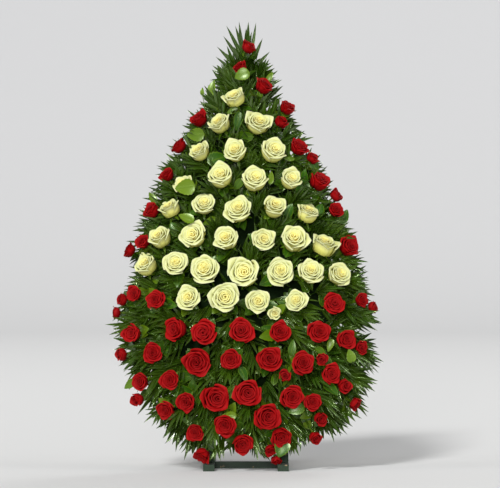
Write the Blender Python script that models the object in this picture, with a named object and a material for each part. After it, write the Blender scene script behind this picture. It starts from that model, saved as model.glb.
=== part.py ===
"""A standing teardrop funeral wreath: cut roses and palm fronds stuck in a foam pad on a wooden stand.

Metres, +Z up, the front faces -Y. The origin is on the floor, under the middle of the base lath.
"""

import math
import random

import bmesh
import bpy
import numpy as np
from mathutils import Matrix, Vector

MM = 0.001
SEAT_GAP = 0.3 * MM  # between a piece and what carries it

# The wreath's outline, as seen from the front, and its depth
WREATH_LOW = 15 * MM
WREATH_HIGH = 1210 * MM
WREATH_HALF_WIDTH = 355 * MM
WREATH_HEART = 430 * MM  # the height that the outline is measured round
POINTEDNESS = 1.2
CHORD = 12 * MM  # an outline's direction is read over twice this length, so that its point looks straight up
TURNS_READ = 200  # points that half an outline is measured at
LEAN = math.radians(12)
BACK_AT_FLOOR = -60 * MM  # where the leaning back plane would meet the floor
BLOOM_DEPTH_MIDDLE = 165 * MM
BLOOM_DEPTH_RIM = 60 * MM
DOME_POWER = 2.4
BLOOM_TILT = 1.5  # how much more than the dome a bloom turns outwards
SLOPE_STEP = 2 * MM  # half the stretch that the dome's slope is read over
WELD = 0.01 * MM  # points closer than this are one point
DICE_SEED = 12

# The foam pad and the panel behind it, along the leaning plane
FOAM_LOW = 134 * MM
FOAM_HIGH = 1100 * MM
FOAM_HALF_WIDTH = 245 * MM
FOAM_HEART = 450 * MM
FOAM_EDGE = 34 * MM
FOAM_MIDDLE = 100 * MM
FOAM_SIDES = 36
FOAM_RINGS = (0.86, 0.62, 0.32)
PANEL_MARGIN = 6 * MM
PANEL_THICK = 6 * MM

# Blooms, stems and leaves
STEM_SHARE = 0.15  # a stem's radius at the bloom, in bloom radii
STEM_IN_FOAM = 32 * MM
STEM_AIM_SHARE = 0.8  # how far out in the foam a stem may aim,
STEM_AIM_MOST = 0.97  # and as a share of how far out it starts
STEM_AIM_DEPTH = 0.45  # of the foam's depth
HOLE_SIDES = 4
HOLE_CORNER = 1.42  # corner to flat of a four-sided hole
HOLE_PAST = 1.2 * MM
FULL_BLOOM = 30 * MM  # blooms of at least this radius have a third whorl of petals
LEAF_THICK = 1.2 * MM
LEAF_WIDEST = 15 * MM
LEAF_SLIMNESS = 0.2  # the most that half a leaf's width may be, in leaf lengths
LEAF_SIDE = ((0.30, 1.0), (0.62, 0.85))  # points of a leaf's edge: how far along, and how wide in half widths
LEAF_ROOT = 1.2 * MM
LEAF_BELOW = 7 * MM  # under a bloom's foot
LEAF_ARCH = 13 * MM
LEAF_FOLD = 0.3  # how far its edges bend down, in half widths

# Fronds
FROND_SPRIGS = 14
FROND_SPREAD = math.radians(29)
FROND_LEVEL = 17 * MM  # in front of the panel
FROND_REACH = 120 * MM
REACH_SPREAD = 0.06  # how much longer or shorter a frond may be
FROND_ARCH = (3 * MM, 7 * MM)  # the least and the most that a frond arches up
FROND_BARE = 0.16  # the leafless foot and the leafy stretch, in frond lengths
FROND_LEAFY = 0.54
FROND_DROOP = 14 * MM
ROOT_RADIUS = 3.6 * MM
ROOT_OUT = 9 * MM
LEAFLET_PAIRS = 5
LEAFLET_FIRST = math.radians(44)
LEAFLET_LAST = math.radians(24)
LEAFLET_SWELL = 0.03  # of a frond's length, on a leaflet's outer edge
LEAFLET_BELLY = 0.45  # how far along a leaflet it is widest
LEAFLET_LENGTH = 0.50  # the first leaflet's length, and how much shorter the last is, in frond lengths
LEAFLET_SHORTER = 0.08
INNER_SHARE = 0.82  # of the way from a rib to the middle between the two ribs
SHORTEST_LEAFLET = 0.12
FORK_AT = 0.09
RIB_HALF = 1.7 * MM
ROOT_IN_BLADE = 4 * MM
FROND_THICK = 1.2 * MM

# The stand, of planed laths
LATH_WIDE = 30 * MM
LATH_DEEP = 18 * MM
RAIL_ACROSS = 100 * MM
RAIL_TOP = 800 * MM
RUNNER_FRONT = -140 * MM
RUNNER_BACK = 330 * MM
RUNNER_HIGH = 18 * MM
PROP_TOP = 640 * MM
CROSS_AT = 690 * MM
SPINE_LOW = 150 * MM
SPINE_HIGH = 1060 * MM
RAIL_SPARE = 40 * MM  # extra length past a slanted cut
PROP_FROM_END = 20 * MM  # a prop's foot, from its runner's end

# Sprigs of neighbouring blooms from the top down: (across, up, bloom radius), in millimetres
WHITE_SPRIGS = (
    ((-30, 1010, 29), (-70, 940, 33), (32, 940, 37)),
    ((-125, 863, 31), (-27, 863, 34), (73, 863, 34)),
    ((-167, 772, 29), (-67, 796, 34)),
    ((24, 786, 34), (121, 786, 29)),
    ((-204, 710, 29), (-113, 717, 32), (-20, 702, 39)),
    ((76, 710, 30), (165, 697, 30)),
    ((-230, 629, 31), (-139, 632, 34), (-51, 624, 35)),
    ((47, 621, 32), (131, 621, 36), (211, 611, 35)),
    ((-267, 556, 31), (-189, 555, 35), (-108, 540, 41)),
    ((-4, 534, 41), (92, 532, 38)),
    ((175, 535, 36), (248, 527, 34)),
    ((-151, 464, 35), (-57, 464, 41)),
    ((32, 454, 33), (78, 424, 18), (136, 456, 31)),
)
RED_SPRIGS = (
    ((5, 1150, 23), (-16, 1091, 24), (46, 1042, 27)),
    ((111, 984, 24), (95, 945, 20), (143, 875, 27), (180, 846, 18)),
    ((197, 783, 28), (243, 743, 19), (243, 703, 22)),
    ((275, 603, 31),),
    ((235, 448, 28), (310, 458, 21), (342, 438, 17)),
    ((-127, 953, 27), (-181, 880, 25), (-215, 799, 23)),
    ((-255, 702, 24),),
    ((-278, 616, 22), (-315, 593, 22)),
    ((-240, 459, 27), (-300, 475, 23), (-334, 460, 18), (-350, 424, 17)),
    ((-335, 313, 20), (-305, 370, 25)),
    ((-249, 317, 27), (-201, 246, 27), (-281, 240, 25), (-292, 193, 20)),
    ((-184, 381, 30), (-108, 370, 33)),
    ((-11, 375, 32), (89, 374, 29)),
    ((194, 373, 31), (265, 353, 26), (308, 330, 19)),
    ((-130, 294, 38), (-40, 302, 28)),
    ((62, 302, 34), (106, 258, 17), (150, 290, 32)),
    ((202, 300, 17), (226, 262, 26), (262, 230, 20), (292, 180, 18)),
    ((-213, 166, 26), (-157, 188, 27), (-85, 200, 36)),
    ((3, 213, 35), (51, 150, 35)),
    ((121, 202, 32), (178, 187, 24), (198, 143, 19), (185, 92, 18)),
    ((-116, 46, 22), (-133, 108, 25), (-54, 127, 31), (-11, 78, 27)),
    ((92, 97, 27), (65, 60, 17), (80, 32, 15)),
)

# A bloom's rings from its eye to its stem, in bloom radii: (out and up at a petal, out and up between two).
# Below the last ring the stem tapers to the point that it was cut to.
FULL_RINGS = (
    (0.34, 0.72, 0.24, 0.58),
    (0.54, 0.46, 0.70, 0.68),
    (0.70, 0.18, 0.76, 0.24),
    (1.00, 0.40, 0.84, 0.16),
    (0.68, -0.30, 0.62, -0.34),
    (0.13, -0.86, 0.13, -0.86),
)
SMALL_RINGS = (
    (0.30, 0.58, 0.46, 0.78),
    (0.56, 0.34, 0.60, 0.38),
    (1.00, 0.52, 0.80, 0.24),
    (0.66, -0.30, 0.62, -0.34),
    (0.15, -0.86, 0.15, -0.86),
)
BLOOM_EYE = 0.44
BLOOM_FOOT = 0.86
FULL_SIDES = 8
SMALL_SIDES = 6
RING_TWIST = math.radians(9)


class Teardrop:
    """A rounded outline with its point at the top, in an upright plane."""

    def __init__(self, low, high, half_width, heart):
        self.low = low
        self.high = high
        self.heart = heart
        widest = (1 + POINTEDNESS) / (2 + POINTEDNESS)
        self.scale = half_width / self.shape(2 * math.asin(math.sqrt(widest)))
        turns = np.linspace(0, math.pi, TURNS_READ)
        points = np.array([self.edge(turn) for turn in turns])
        self.angles = np.arctan2(points[:, 0], points[:, 1] - heart)
        self.reaches = np.hypot(points[:, 0], points[:, 1] - heart)

    @staticmethod
    def shape(turn):
        return math.sin(turn) * math.sin(turn / 2) ** POINTEDNESS

    def edge(self, turn):
        """The outline at a turn from 0 at the point to pi at the bottom; a negative turn is on the left."""
        across = math.copysign(self.scale * self.shape(abs(turn)), turn)
        return across, self.high - (self.high - self.low) * math.sin(turn / 2) ** 2

    def share(self, across, up):
        """How far out a point lies: 0 at the heart and 1 on the outline."""
        angle = math.atan2(abs(across), up - self.heart)
        return math.hypot(across, up - self.heart) / np.interp(angle, self.angles, self.reaches)

    def even_points(self, count):
        """Points spaced evenly along the outline, clockwise from the top, each with its outward direction."""
        turns = np.linspace(0, math.tau, 6 * TURNS_READ + 1)
        line = np.array([self.edge(turn if turn <= math.pi else turn - math.tau) for turn in turns])
        run = np.concatenate([[0], np.cumsum(np.hypot(*np.diff(line, axis=0).T))])

        def along(distance):
            distance %= run[-1]
            return Vector((np.interp(distance, run, line[:, 0]), np.interp(distance, run, line[:, 1])))

        points = []
        for distance in np.arange(count) / count * run[-1]:
            tangent = along(distance + CHORD) - along(distance - CHORD)
            points.append((along(distance), Vector((-tangent.y, tangent.x)).normalized()))
        return points


wreath = Teardrop(WREATH_LOW, WREATH_HIGH, WREATH_HALF_WIDTH, WREATH_HEART)
foam = Teardrop(FOAM_LOW, FOAM_HIGH, FOAM_HALF_WIDTH, FOAM_HEART)

# The leaning plane: x across, y up along the panel, z forward out of its front face
PANEL_PLANE = Matrix.Translation((0, BACK_AT_FLOOR, 0)) @ Matrix.Rotation(math.pi / 2 - LEAN, 4, "X")


def dome(share, rim, middle):
    """The depth of a domed front that rises from its rim to its middle."""
    return rim + (middle - rim) * math.sqrt(max(0.0, 1 - min(share, 1.0) ** DOME_POWER))


def bloom_depth(across, up):
    return dome(wreath.share(across, up), BLOOM_DEPTH_RIM, BLOOM_DEPTH_MIDDLE)


def foam_depth(across, up):
    return dome(foam.share(across, up), FOAM_EDGE, FOAM_MIDDLE)


def clear_scene():
    for obj in list(bpy.data.objects):
        bpy.data.objects.remove(obj)


def new_collection(name, hidden=False):
    collection = bpy.data.collections.new(name)
    bpy.context.scene.collection.children.link(collection)
    collection.hide_render = hidden
    return collection


def new_material(name, colour, roughness, metallic=0.0):
    material = bpy.data.materials.new(name)
    material.use_nodes = True
    shader = material.node_tree.nodes["Principled BSDF"]
    shader.inputs["Base Color"].default_value = (*colour, 1.0)
    shader.inputs["Roughness"].default_value = roughness
    shader.inputs["Metallic"].default_value = metallic
    return material


def add_object(name, mesh, collection, material=None):
    obj = bpy.data.objects.new(name, mesh)
    collection.objects.link(obj)
    if material:
        mesh.materials.append(material)
    return obj


def mesh_from(shape, name):
    mesh = bpy.data.meshes.new(name)
    shape.to_mesh(mesh)
    shape.free()
    return mesh


def flat_blade(name, outline, thick):
    """A thin closed plate with this outline, from a filled 2D curve."""
    curve = bpy.data.curves.new(name, "CURVE")
    curve.dimensions = "2D"
    curve.fill_mode = "BOTH"
    curve.extrude = thick / 2
    spline = curve.splines.new("POLY")
    spline.points.add(len(outline) - 1)
    spline.use_cyclic_u = True
    for point, (x, y) in zip(spline.points, outline):
        point.co = (x, y, 0, 1)
    drawn = bpy.data.objects.new(name, curve)
    bpy.context.scene.collection.objects.link(drawn)
    evaluated = drawn.evaluated_get(bpy.context.evaluated_depsgraph_get())
    mesh = bpy.data.meshes.new_from_object(evaluated)
    bpy.data.objects.remove(drawn)
    shape = bmesh.new()
    shape.from_mesh(mesh)
    bmesh.ops.remove_doubles(shape, verts=shape.verts, dist=WELD)
    bmesh.ops.recalc_face_normals(shape, faces=shape.faces)
    bmesh.ops.triangulate(shape, faces=[f for f in shape.faces if len(f.verts) > 4])
    shape.to_mesh(mesh)
    shape.free()
    return mesh


def turned_to(place, direction):
    """A matrix that moves to a place and turns +Z to a direction."""
    return Matrix.Translation(place) @ direction.to_track_quat("Z", "Y").to_matrix().to_4x4()


def cone_between(name, start, end, radius, collection):
    """A closed cone with a few flat sides, from its wide end to its tip."""
    shape = bmesh.new()
    long = (end - start).length
    bmesh.ops.create_cone(shape, cap_ends=True, segments=HOLE_SIDES, radius1=radius, radius2=0, depth=long)
    bmesh.ops.remove_doubles(shape, verts=shape.verts, dist=WELD)
    obj = add_object(name, mesh_from(shape, name), collection)
    obj.matrix_world = turned_to((start + end) / 2, end - start)
    return obj


def join_all(first, others, material):
    """One Boolean union of an object with a collection, applied; the collection is then removed."""
    bpy.context.view_layer.update()
    first.data.transform(first.matrix_world)
    first.matrix_world = Matrix.Identity(4)
    if others.objects:
        union = first.modifiers.new("union", "BOOLEAN")
        union.operation = "UNION"
        union.operand_type = "COLLECTION"
        union.collection = others
        evaluated = first.evaluated_get(bpy.context.evaluated_depsgraph_get())
        joined = bpy.data.meshes.new_from_object(evaluated)
        first.modifiers.clear()
        first.data = joined
    for obj in list(others.objects):
        bpy.data.objects.remove(obj)
    bpy.data.collections.remove(others)
    first.data.materials.clear()
    first.data.materials.append(material)


def bloom_place(across, up):
    """Where a bloom's widest ring lies, and the way that the bloom faces."""
    step = SLOPE_STEP
    slope_x = (bloom_depth(across + step, up) - bloom_depth(across - step, up)) / (2 * step)
    slope_z = (bloom_depth(across, up + step) - bloom_depth(across, up - step)) / (2 * step)
    back = BACK_AT_FLOOR + up * math.tan(LEAN)
    place = Vector((across, back - bloom_depth(across, up), up))
    facing = Vector((-BLOOM_TILT * slope_x, -1, math.tan(LEAN) - BLOOM_TILT * slope_z))
    return place, facing.normalized()


def bloom_mesh(name, radius, spin, stem_tip):
    """A rose: a sphere whose rings are drawn out into whorls of petals, down to the tip of its stem."""
    full = radius >= FULL_BLOOM
    rings = FULL_RINGS if full else SMALL_RINGS
    sides = FULL_SIDES if full else SMALL_SIDES
    levels = len(rings) + 1
    shape = bmesh.new()
    bmesh.ops.create_uvsphere(shape, u_segments=sides, v_segments=levels, radius=1)
    for vert in shape.verts:
        level = round(math.acos(max(-1, min(1, vert.co.z))) / math.pi * levels)
        if level == 0:
            vert.co = (0, 0, BLOOM_EYE * radius)
        elif level == levels:
            vert.co = stem_tip
        else:
            angle = math.atan2(vert.co.y, vert.co.x)
            at_petal = round(angle / math.tau * sides) % 2 == 0
            ring = rings[level - 1]
            out, rise = ring[:2] if at_petal else ring[2:]
            angle += spin + RING_TWIST * level
            vert.co = (out * radius * math.cos(angle), out * radius * math.sin(angle), rise * radius)
    return mesh_from(shape, name)


def stem_end(place):
    """The point inside the foam that a bloom's stem is pushed to."""
    local = PANEL_PLANE.inverted() @ place
    share = foam.share(local.x, local.y)
    pull = STEM_AIM_MOST if share < STEM_AIM_SHARE else min(STEM_AIM_MOST, STEM_AIM_SHARE / share)
    across = local.x * pull
    up = foam.heart + (local.y - foam.heart) * pull
    target = PANEL_PLANE @ Vector((across, up, STEM_AIM_DEPTH * foam_depth(across, up)))
    direction = (target - place).normalized()
    travelled = 0.0
    while travelled < (target - place).length:
        point = PANEL_PLANE.inverted() @ (place + direction * travelled)
        if foam.share(point.x, point.y) < 1 and point.z < foam_depth(point.x, point.y):
            break
        travelled += MM
    return place + direction * (travelled + STEM_IN_FOAM)


def link_leaf(name, start, end, normal, collection):
    """A rose leaf that grows from one stem and lies against the next, arched up between the two blooms."""
    length = (end - start).length
    half = min(LEAF_WIDEST, LEAF_SLIMNESS * length)
    edge = [(along * length, wide * half) for along, wide in LEAF_SIDE]
    side = ((0, LEAF_ROOT), *edge, (length, LEAF_ROOT))
    outline = [*side, *[(x, -y) for x, y in reversed(side)]]
    obj = add_object(name, flat_blade(name, outline, LEAF_THICK), collection)
    for vert in obj.data.vertices:
        along = max(0.0, min(1.0, vert.co.x / length))
        vert.co.z += LEAF_ARCH * math.sin(math.pi * along) - LEAF_FOLD * vert.co.y**2 / half
    x_axis = (end - start).normalized()
    y_axis = normal.cross(x_axis).normalized()
    z_axis = x_axis.cross(y_axis)
    turn = Matrix((x_axis, y_axis, z_axis)).transposed().to_4x4()
    obj.matrix_world = Matrix.Translation(start) @ turn


def rose_sprig(name, blooms, material, parts, cutters, dice):
    """Neighbouring roses on their own stems, the leaves that join them, and the holes for their stems."""
    loose = new_collection("loose_" + name)
    stalks = []
    first = None
    for number, (across, up, radius) in enumerate(blooms):
        radius *= MM
        place, facing = bloom_place(across * MM, up * MM)
        turned = turned_to(place, facing)
        foot = place - facing * BLOOM_FOOT * radius
        tip = stem_end(foot)
        head_name = f"{name}_bloom_{number}"
        mesh = bloom_mesh(head_name, radius, dice.uniform(0, math.tau), turned.inverted() @ tip)
        head = add_object(head_name, mesh, parts if first is None else loose)
        head.matrix_world = turned
        first = first or head
        along = (tip - foot).normalized()
        wide = (STEM_SHARE * radius + SEAT_GAP) * HOLE_CORNER
        cone_between(f"{name}_hole_{number}", foot, tip + along * HOLE_PAST, wide, cutters)
        stalks.append((foot + along * LEAF_BELOW, facing))
    for number, (one, other) in enumerate(zip(stalks, stalks[1:])):
        link_leaf(f"{name}_leaf_{number}", one[0], other[0], one[1] + other[1], loose)
    join_all(first, loose, material)
    first.name = name


def twin_outline(reach):
    """Two palm fronds from one root, flattened: leaflets cut to each rib, the inner ones shorter."""
    pitch = FROND_LEAFY * reach / LEAFLET_PAIRS
    rib = Vector((math.cos(FROND_SPREAD), math.sin(FROND_SPREAD)))
    outwards = Vector((-rib.y, rib.x)) * RIB_HALF
    outer = [Vector((-ROOT_IN_BLADE, RIB_HALF))]
    inner = []
    for number in range(LEAFLET_PAIRS):
        share = number / (LEAFLET_PAIRS - 1)
        angle = LEAFLET_FIRST + (LEAFLET_LAST - LEAFLET_FIRST) * share
        length = reach * (LEAFLET_LENGTH - LEAFLET_SHORTER * share)
        foot = rib * (FROND_BARE * reach + number * pitch)
        for hand, points in ((1, outer), (-1, inner)):
            along = Matrix.Rotation(FROND_SPREAD + hand * angle, 2) @ Vector((1, 0))
            sideways = Vector((-along.y, along.x)) * hand
            root = foot + outwards * hand
            room = length
            if hand < 0 and along.y < 0:
                room = min(length, INNER_SHARE * (root.y - RIB_HALF) / -along.y)
            if room > SHORTEST_LEAFLET * reach:
                belly = along * LEAFLET_BELLY * room + sideways * LEAFLET_SWELL * reach * room / length
                points.extend((root, root + belly, root + along * room))
    last = rib * (FROND_BARE * reach + LEAFLET_PAIRS * pitch)
    upper = [*outer, last + outwards, rib * reach, last - outwards, *reversed(inner)]
    fork = Vector((FORK_AT * reach, 0))
    lower = [Vector((point.x, -point.y)) for point in reversed(upper)]
    return [tuple(point) for point in (*upper, fork, *lower)]


def frond_sprig(name, foot, outward, material, parts, cutters, dice):
    """Two palm fronds that spread from one root in the pad's edge, as one arched blade."""
    loose = new_collection("loose_" + name)
    tip = PANEL_PLANE @ Vector((*(foot - outward * STEM_IN_FOAM), FROND_LEVEL))
    top = PANEL_PLANE @ Vector((*(foot + outward * ROOT_OUT), FROND_LEVEL))
    first = cone_between(name, top, tip, ROOT_RADIUS, parts)
    past = tip + (tip - top).normalized() * HOLE_PAST
    cone_between(name + "_hole", top, past, ROOT_RADIUS + SEAT_GAP * HOLE_CORNER, cutters)
    reach = FROND_REACH * dice.uniform(1 - REACH_SPREAD, 1 + REACH_SPREAD)
    bend = dice.uniform(*FROND_ARCH)
    blade = flat_blade(name + "_blade", twin_outline(reach), FROND_THICK)
    for vert in blade.vertices:
        along = max(0.0, min(1.0, vert.co.x / reach))
        vert.co.z += bend * math.sin(math.pi * along) - FROND_DROOP * (vert.co.y / reach) ** 2
    obj = add_object(blade.name, blade, loose)
    start = foot + outward * ROOT_IN_BLADE
    place = Matrix.Translation((*start, FROND_LEVEL))
    obj.matrix_world = PANEL_PLANE @ place @ Matrix.Rotation(math.atan2(outward.y, outward.x), 4, "Z")
    join_all(first, loose, material)


def foam_pad(material, parts, cutters):
    """The carved foam: its outline pushed forward and drawn in ring by ring, with a hole for each stem."""
    shape = bmesh.new()
    outline = [point for point, _ in foam.even_points(FOAM_SIDES)]
    bmesh.ops.create_circle(shape, cap_ends=True, segments=FOAM_SIDES, radius=1)
    for vert, point in zip(shape.verts, reversed(outline)):
        vert.co = (*point, SEAT_GAP)
    face = next(iter(shape.faces))
    done = 1.0
    for share in (1.0, *FOAM_RINGS):
        pushed = bmesh.ops.extrude_face_region(shape, geom=[face])["geom"]
        if share < 1.0:
            shape.faces.remove(face)
        face = next(item for item in pushed if isinstance(item, bmesh.types.BMFace))
        for vert in face.verts:
            vert.co.x *= share / done
            vert.co.y = foam.heart + (vert.co.y - foam.heart) * share / done
            vert.co.z = dome(share, FOAM_EDGE, FOAM_MIDDLE)
        done = share
    bmesh.ops.poke(shape, faces=[face])
    crown = max(shape.verts, key=lambda vert: len(vert.link_edges))
    crown.co.z = FOAM_MIDDLE
    bmesh.ops.recalc_face_normals(shape, faces=shape.faces)
    obj = add_object("foam_pad", mesh_from(shape, "foam_pad"), parts, material)
    obj.matrix_world = PANEL_PLANE
    holes = obj.modifiers.new("stem_holes", "BOOLEAN")
    holes.operation = "DIFFERENCE"
    holes.operand_type = "COLLECTION"
    holes.collection = cutters


def back_panel(material, parts):
    """The teardrop of plywood that carries the foam."""
    outline = [tuple(point + outward * PANEL_MARGIN) for point, outward in foam.even_points(FOAM_SIDES)]
    obj = add_object("back_panel", flat_blade("back_panel", outline, PANEL_THICK), parts, material)
    obj.matrix_world = PANEL_PLANE @ Matrix.Translation((0, 0, -PANEL_THICK / 2))


def lath(name, start, end, material, parts, cuts=(), wide=LATH_WIDE, deep=LATH_DEEP):
    """A straight lath between two points, wide across x, its ends cut by planes (point, outward normal)."""
    shape = bmesh.new()
    bmesh.ops.create_cube(shape, size=1)
    along = (end - start).normalized()
    across = Vector((0, 0, 1)) if abs(along.x) > abs(along.z) + abs(along.y) else Vector((1, 0, 0))
    third = along.cross(across).normalized()
    frame = Matrix((across * wide, third * deep, along * (end - start).length)).transposed().to_4x4()
    frame.translation = (start + end) / 2
    shape.transform(frame)
    bmesh.ops.recalc_face_normals(shape, faces=shape.faces)
    for point, normal in cuts:
        everything = [*shape.verts, *shape.edges, *shape.faces]
        plane = {"plane_co": point, "plane_no": normal, "clear_outer": True}
        cut = bmesh.ops.bisect_plane(shape, geom=everything, **plane)
        rim = [item for item in cut["geom_cut"] if isinstance(item, bmesh.types.BMEdge)]
        bmesh.ops.edgeloop_fill(shape, edges=rim)
    bmesh.ops.recalc_face_normals(shape, faces=shape.faces)
    return add_object(name, mesh_from(shape, name), parts, material)


def stand(material, parts):
    """Two runners on the floor, two leaning rails, a prop behind each, and the laths that tie the sides."""
    forward = PANEL_PLANE.to_3x3() @ Vector((0, 0, 1))
    down = Vector((0, 0, -1))
    behind_panel = -PANEL_THICK - SEAT_GAP
    rail_line = behind_panel - LATH_DEEP / 2
    runner_top = RUNNER_HIGH + SEAT_GAP
    for side, word in ((-1, "left"), (1, "right")):
        across = side * RAIL_ACROSS
        front = Vector((across, RUNNER_FRONT, RUNNER_HIGH / 2))
        rear = Vector((across, RUNNER_BACK, RUNNER_HIGH / 2))
        lath(f"runner_{word}", front, rear, material, parts, deep=RUNNER_HIGH)
        low = PANEL_PLANE @ Vector((across, -RAIL_SPARE, rail_line))
        high = PANEL_PLANE @ Vector((across, RAIL_TOP, rail_line))
        lath(f"rail_{word}", low, high, material, parts, cuts=[(Vector((0, 0, runner_top)), down)])
        rail_back = PANEL_PLANE @ Vector((across, PROP_TOP, behind_panel - LATH_DEEP - SEAT_GAP))
        foot = Vector((across, RUNNER_BACK - PROP_FROM_END, 0))
        reach = (rail_back - foot).normalized() * RAIL_SPARE
        cuts = [(Vector((0, 0, runner_top)), down), (rail_back, forward)]
        lath(f"prop_{word}", foot - reach, rail_back + reach, material, parts, cuts=cuts)
    inner = RAIL_ACROSS - LATH_WIDE / 2 - SEAT_GAP
    floor_line = RUNNER_HIGH / 2
    base_ends = Vector((-inner, 0, floor_line)), Vector((inner, 0, floor_line))
    lath("base_lath", *base_ends, material, parts, wide=RUNNER_HIGH, deep=LATH_WIDE)
    spine_low = PANEL_PLANE @ Vector((0, SPINE_LOW, rail_line))
    spine_high = PANEL_PLANE @ Vector((0, SPINE_HIGH, rail_line))
    lath("spine_lath", spine_low, spine_high, material, parts)
    tie_line = behind_panel - LATH_DEEP * 1.5 - SEAT_GAP
    tie = RAIL_ACROSS + LATH_WIDE / 2
    ends = [PANEL_PLANE @ Vector((x, CROSS_AT, tie_line)) for x in (-tie, tie)]
    cross = lath("cross_lath", Vector((-tie, 0, 0)), Vector((tie, 0, 0)), material, parts)
    cross.matrix_world = Matrix.Translation((ends[0] + ends[1]) / 2) @ Matrix.Rotation(-LEAN, 4, "X")


def build():
    clear_scene()
    dice = random.Random(DICE_SEED)
    parts = new_collection("funeral_wreath")
    cutters = new_collection("stem_cutters", hidden=True)
    white = new_material("white_rose", (0.86, 0.80, 0.52), 0.55)
    red = new_material("red_rose", (0.36, 0.01, 0.01), 0.5)
    green = new_material("palm_green", (0.06, 0.16, 0.03), 0.4)
    pad = new_material("floral_foam", (0.05, 0.14, 0.06), 0.95)
    plywood = new_material("plywood", (0.50, 0.36, 0.22), 0.7)
    paint = new_material("green_painted_lath", (0.014, 0.040, 0.016), 0.5)
    for number, blooms in enumerate(WHITE_SPRIGS, 1):
        rose_sprig(f"white_roses_{number:02d}", blooms, white, parts, cutters, dice)
    for number, blooms in enumerate(RED_SPRIGS, 1):
        rose_sprig(f"red_roses_{number:02d}", blooms, red, parts, cutters, dice)
    for number, (foot, outward) in enumerate(foam.even_points(FROND_SPRIGS), 1):
        frond_sprig(f"palm_fronds_{number:02d}", foot, outward, green, parts, cutters, dice)
    foam_pad(pad, parts, cutters)
    back_panel(plywood, parts)
    stand(paint, parts)
    for cutter in cutters.objects:
        cutter.hide_render = True
        cutter.display_type = "WIRE"


build()
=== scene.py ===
# %% [markdown]
# # A standing funeral wreath, dressed with its roses and its palm
# The real wreath is cut roses and palm fronds pushed into a teardrop of wet foam, on a sheet of plywood that
# leans on a stand of laths. The construction comes in as a fixed frame of solids. This script keeps the foam
# and the woodwork, gives them a finish, and puts finer flowers and foliage where the plain ones stand.

# %% Load the frame
import math

import bmesh
import bpy
import numpy as np
from mathutils import Matrix, Vector


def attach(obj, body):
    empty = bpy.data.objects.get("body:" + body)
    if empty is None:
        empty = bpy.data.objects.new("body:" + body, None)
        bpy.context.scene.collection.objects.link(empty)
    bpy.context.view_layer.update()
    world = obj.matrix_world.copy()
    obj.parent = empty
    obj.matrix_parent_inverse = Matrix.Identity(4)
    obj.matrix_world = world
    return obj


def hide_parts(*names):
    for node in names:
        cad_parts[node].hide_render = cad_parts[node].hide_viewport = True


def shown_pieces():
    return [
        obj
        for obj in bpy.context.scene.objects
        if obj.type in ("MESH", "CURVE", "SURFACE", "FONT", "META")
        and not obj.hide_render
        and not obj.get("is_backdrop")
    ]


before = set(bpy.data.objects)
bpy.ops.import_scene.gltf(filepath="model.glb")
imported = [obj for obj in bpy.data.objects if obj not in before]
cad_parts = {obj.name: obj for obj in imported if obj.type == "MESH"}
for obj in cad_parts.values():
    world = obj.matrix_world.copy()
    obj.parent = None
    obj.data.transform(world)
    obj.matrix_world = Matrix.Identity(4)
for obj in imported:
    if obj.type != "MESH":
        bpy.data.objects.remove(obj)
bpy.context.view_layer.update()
bpy.ops.object.select_all(action="DESELECT")
print("solids in the frame:", len(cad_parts))

# %% [markdown]
# ## The sizes that the flowers are set out by
# The florist draws a teardrop, and every stem is aimed at its heart. The same outline, depth and list of
# blooms as in the construction are repeated here, so each fine rose stands where its plain one does.

# %% Name the sizes of the pad and the wreath
MM = 0.001
WREATH_LOW, WREATH_HIGH = 15 * MM, 1210 * MM
WREATH_HALF_WIDTH, WREATH_HEART = 355 * MM, 430 * MM
FOAM_LOW, FOAM_HIGH = 134 * MM, 1100 * MM
FOAM_HALF_WIDTH, FOAM_HEART = 245 * MM, 450 * MM
FOAM_EDGE, FOAM_MIDDLE = 34 * MM, 100 * MM
BLOOM_DEPTH_RIM, BLOOM_DEPTH_MIDDLE = 60 * MM, 165 * MM
POINTEDNESS = 1.2
DOME_POWER = 2.4
BLOOM_TILT = 1.5
CHORD = 12 * MM  # half the stretch of outline that its direction is measured over
LEAN = math.radians(12)
BACK_AT_FLOOR = -60 * MM
FROND_LEVEL = 17 * MM
FROND_SPRIGS = 14
FROND_SPREAD = math.radians(29)
BLOOM_FOOT = 0.86  # of its radius, how far behind its widest ring a bloom's foot lies
STEM_IN_FOAM = 32 * MM
PLANE = Matrix.Translation((0, BACK_AT_FLOOR, 0)) @ Matrix.Rotation(math.pi / 2 - LEAN, 4, "X")
ACROSS = np.array((1.0, 0.0, 0.0))
UP = np.array(PLANE.to_3x3() @ Vector((0, 1, 0)))
OUT = np.array(PLANE.to_3x3() @ Vector((0, 0, 1)))
DOWN = np.array((0.0, 0.0, -1.0))
teardrop_mm = (2 * WREATH_HALF_WIDTH / MM, (WREATH_HIGH - WREATH_LOW) / MM)
print("the teardrop is", round(teardrop_mm[0]), "mm wide and", round(teardrop_mm[1]), "mm long")

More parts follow.
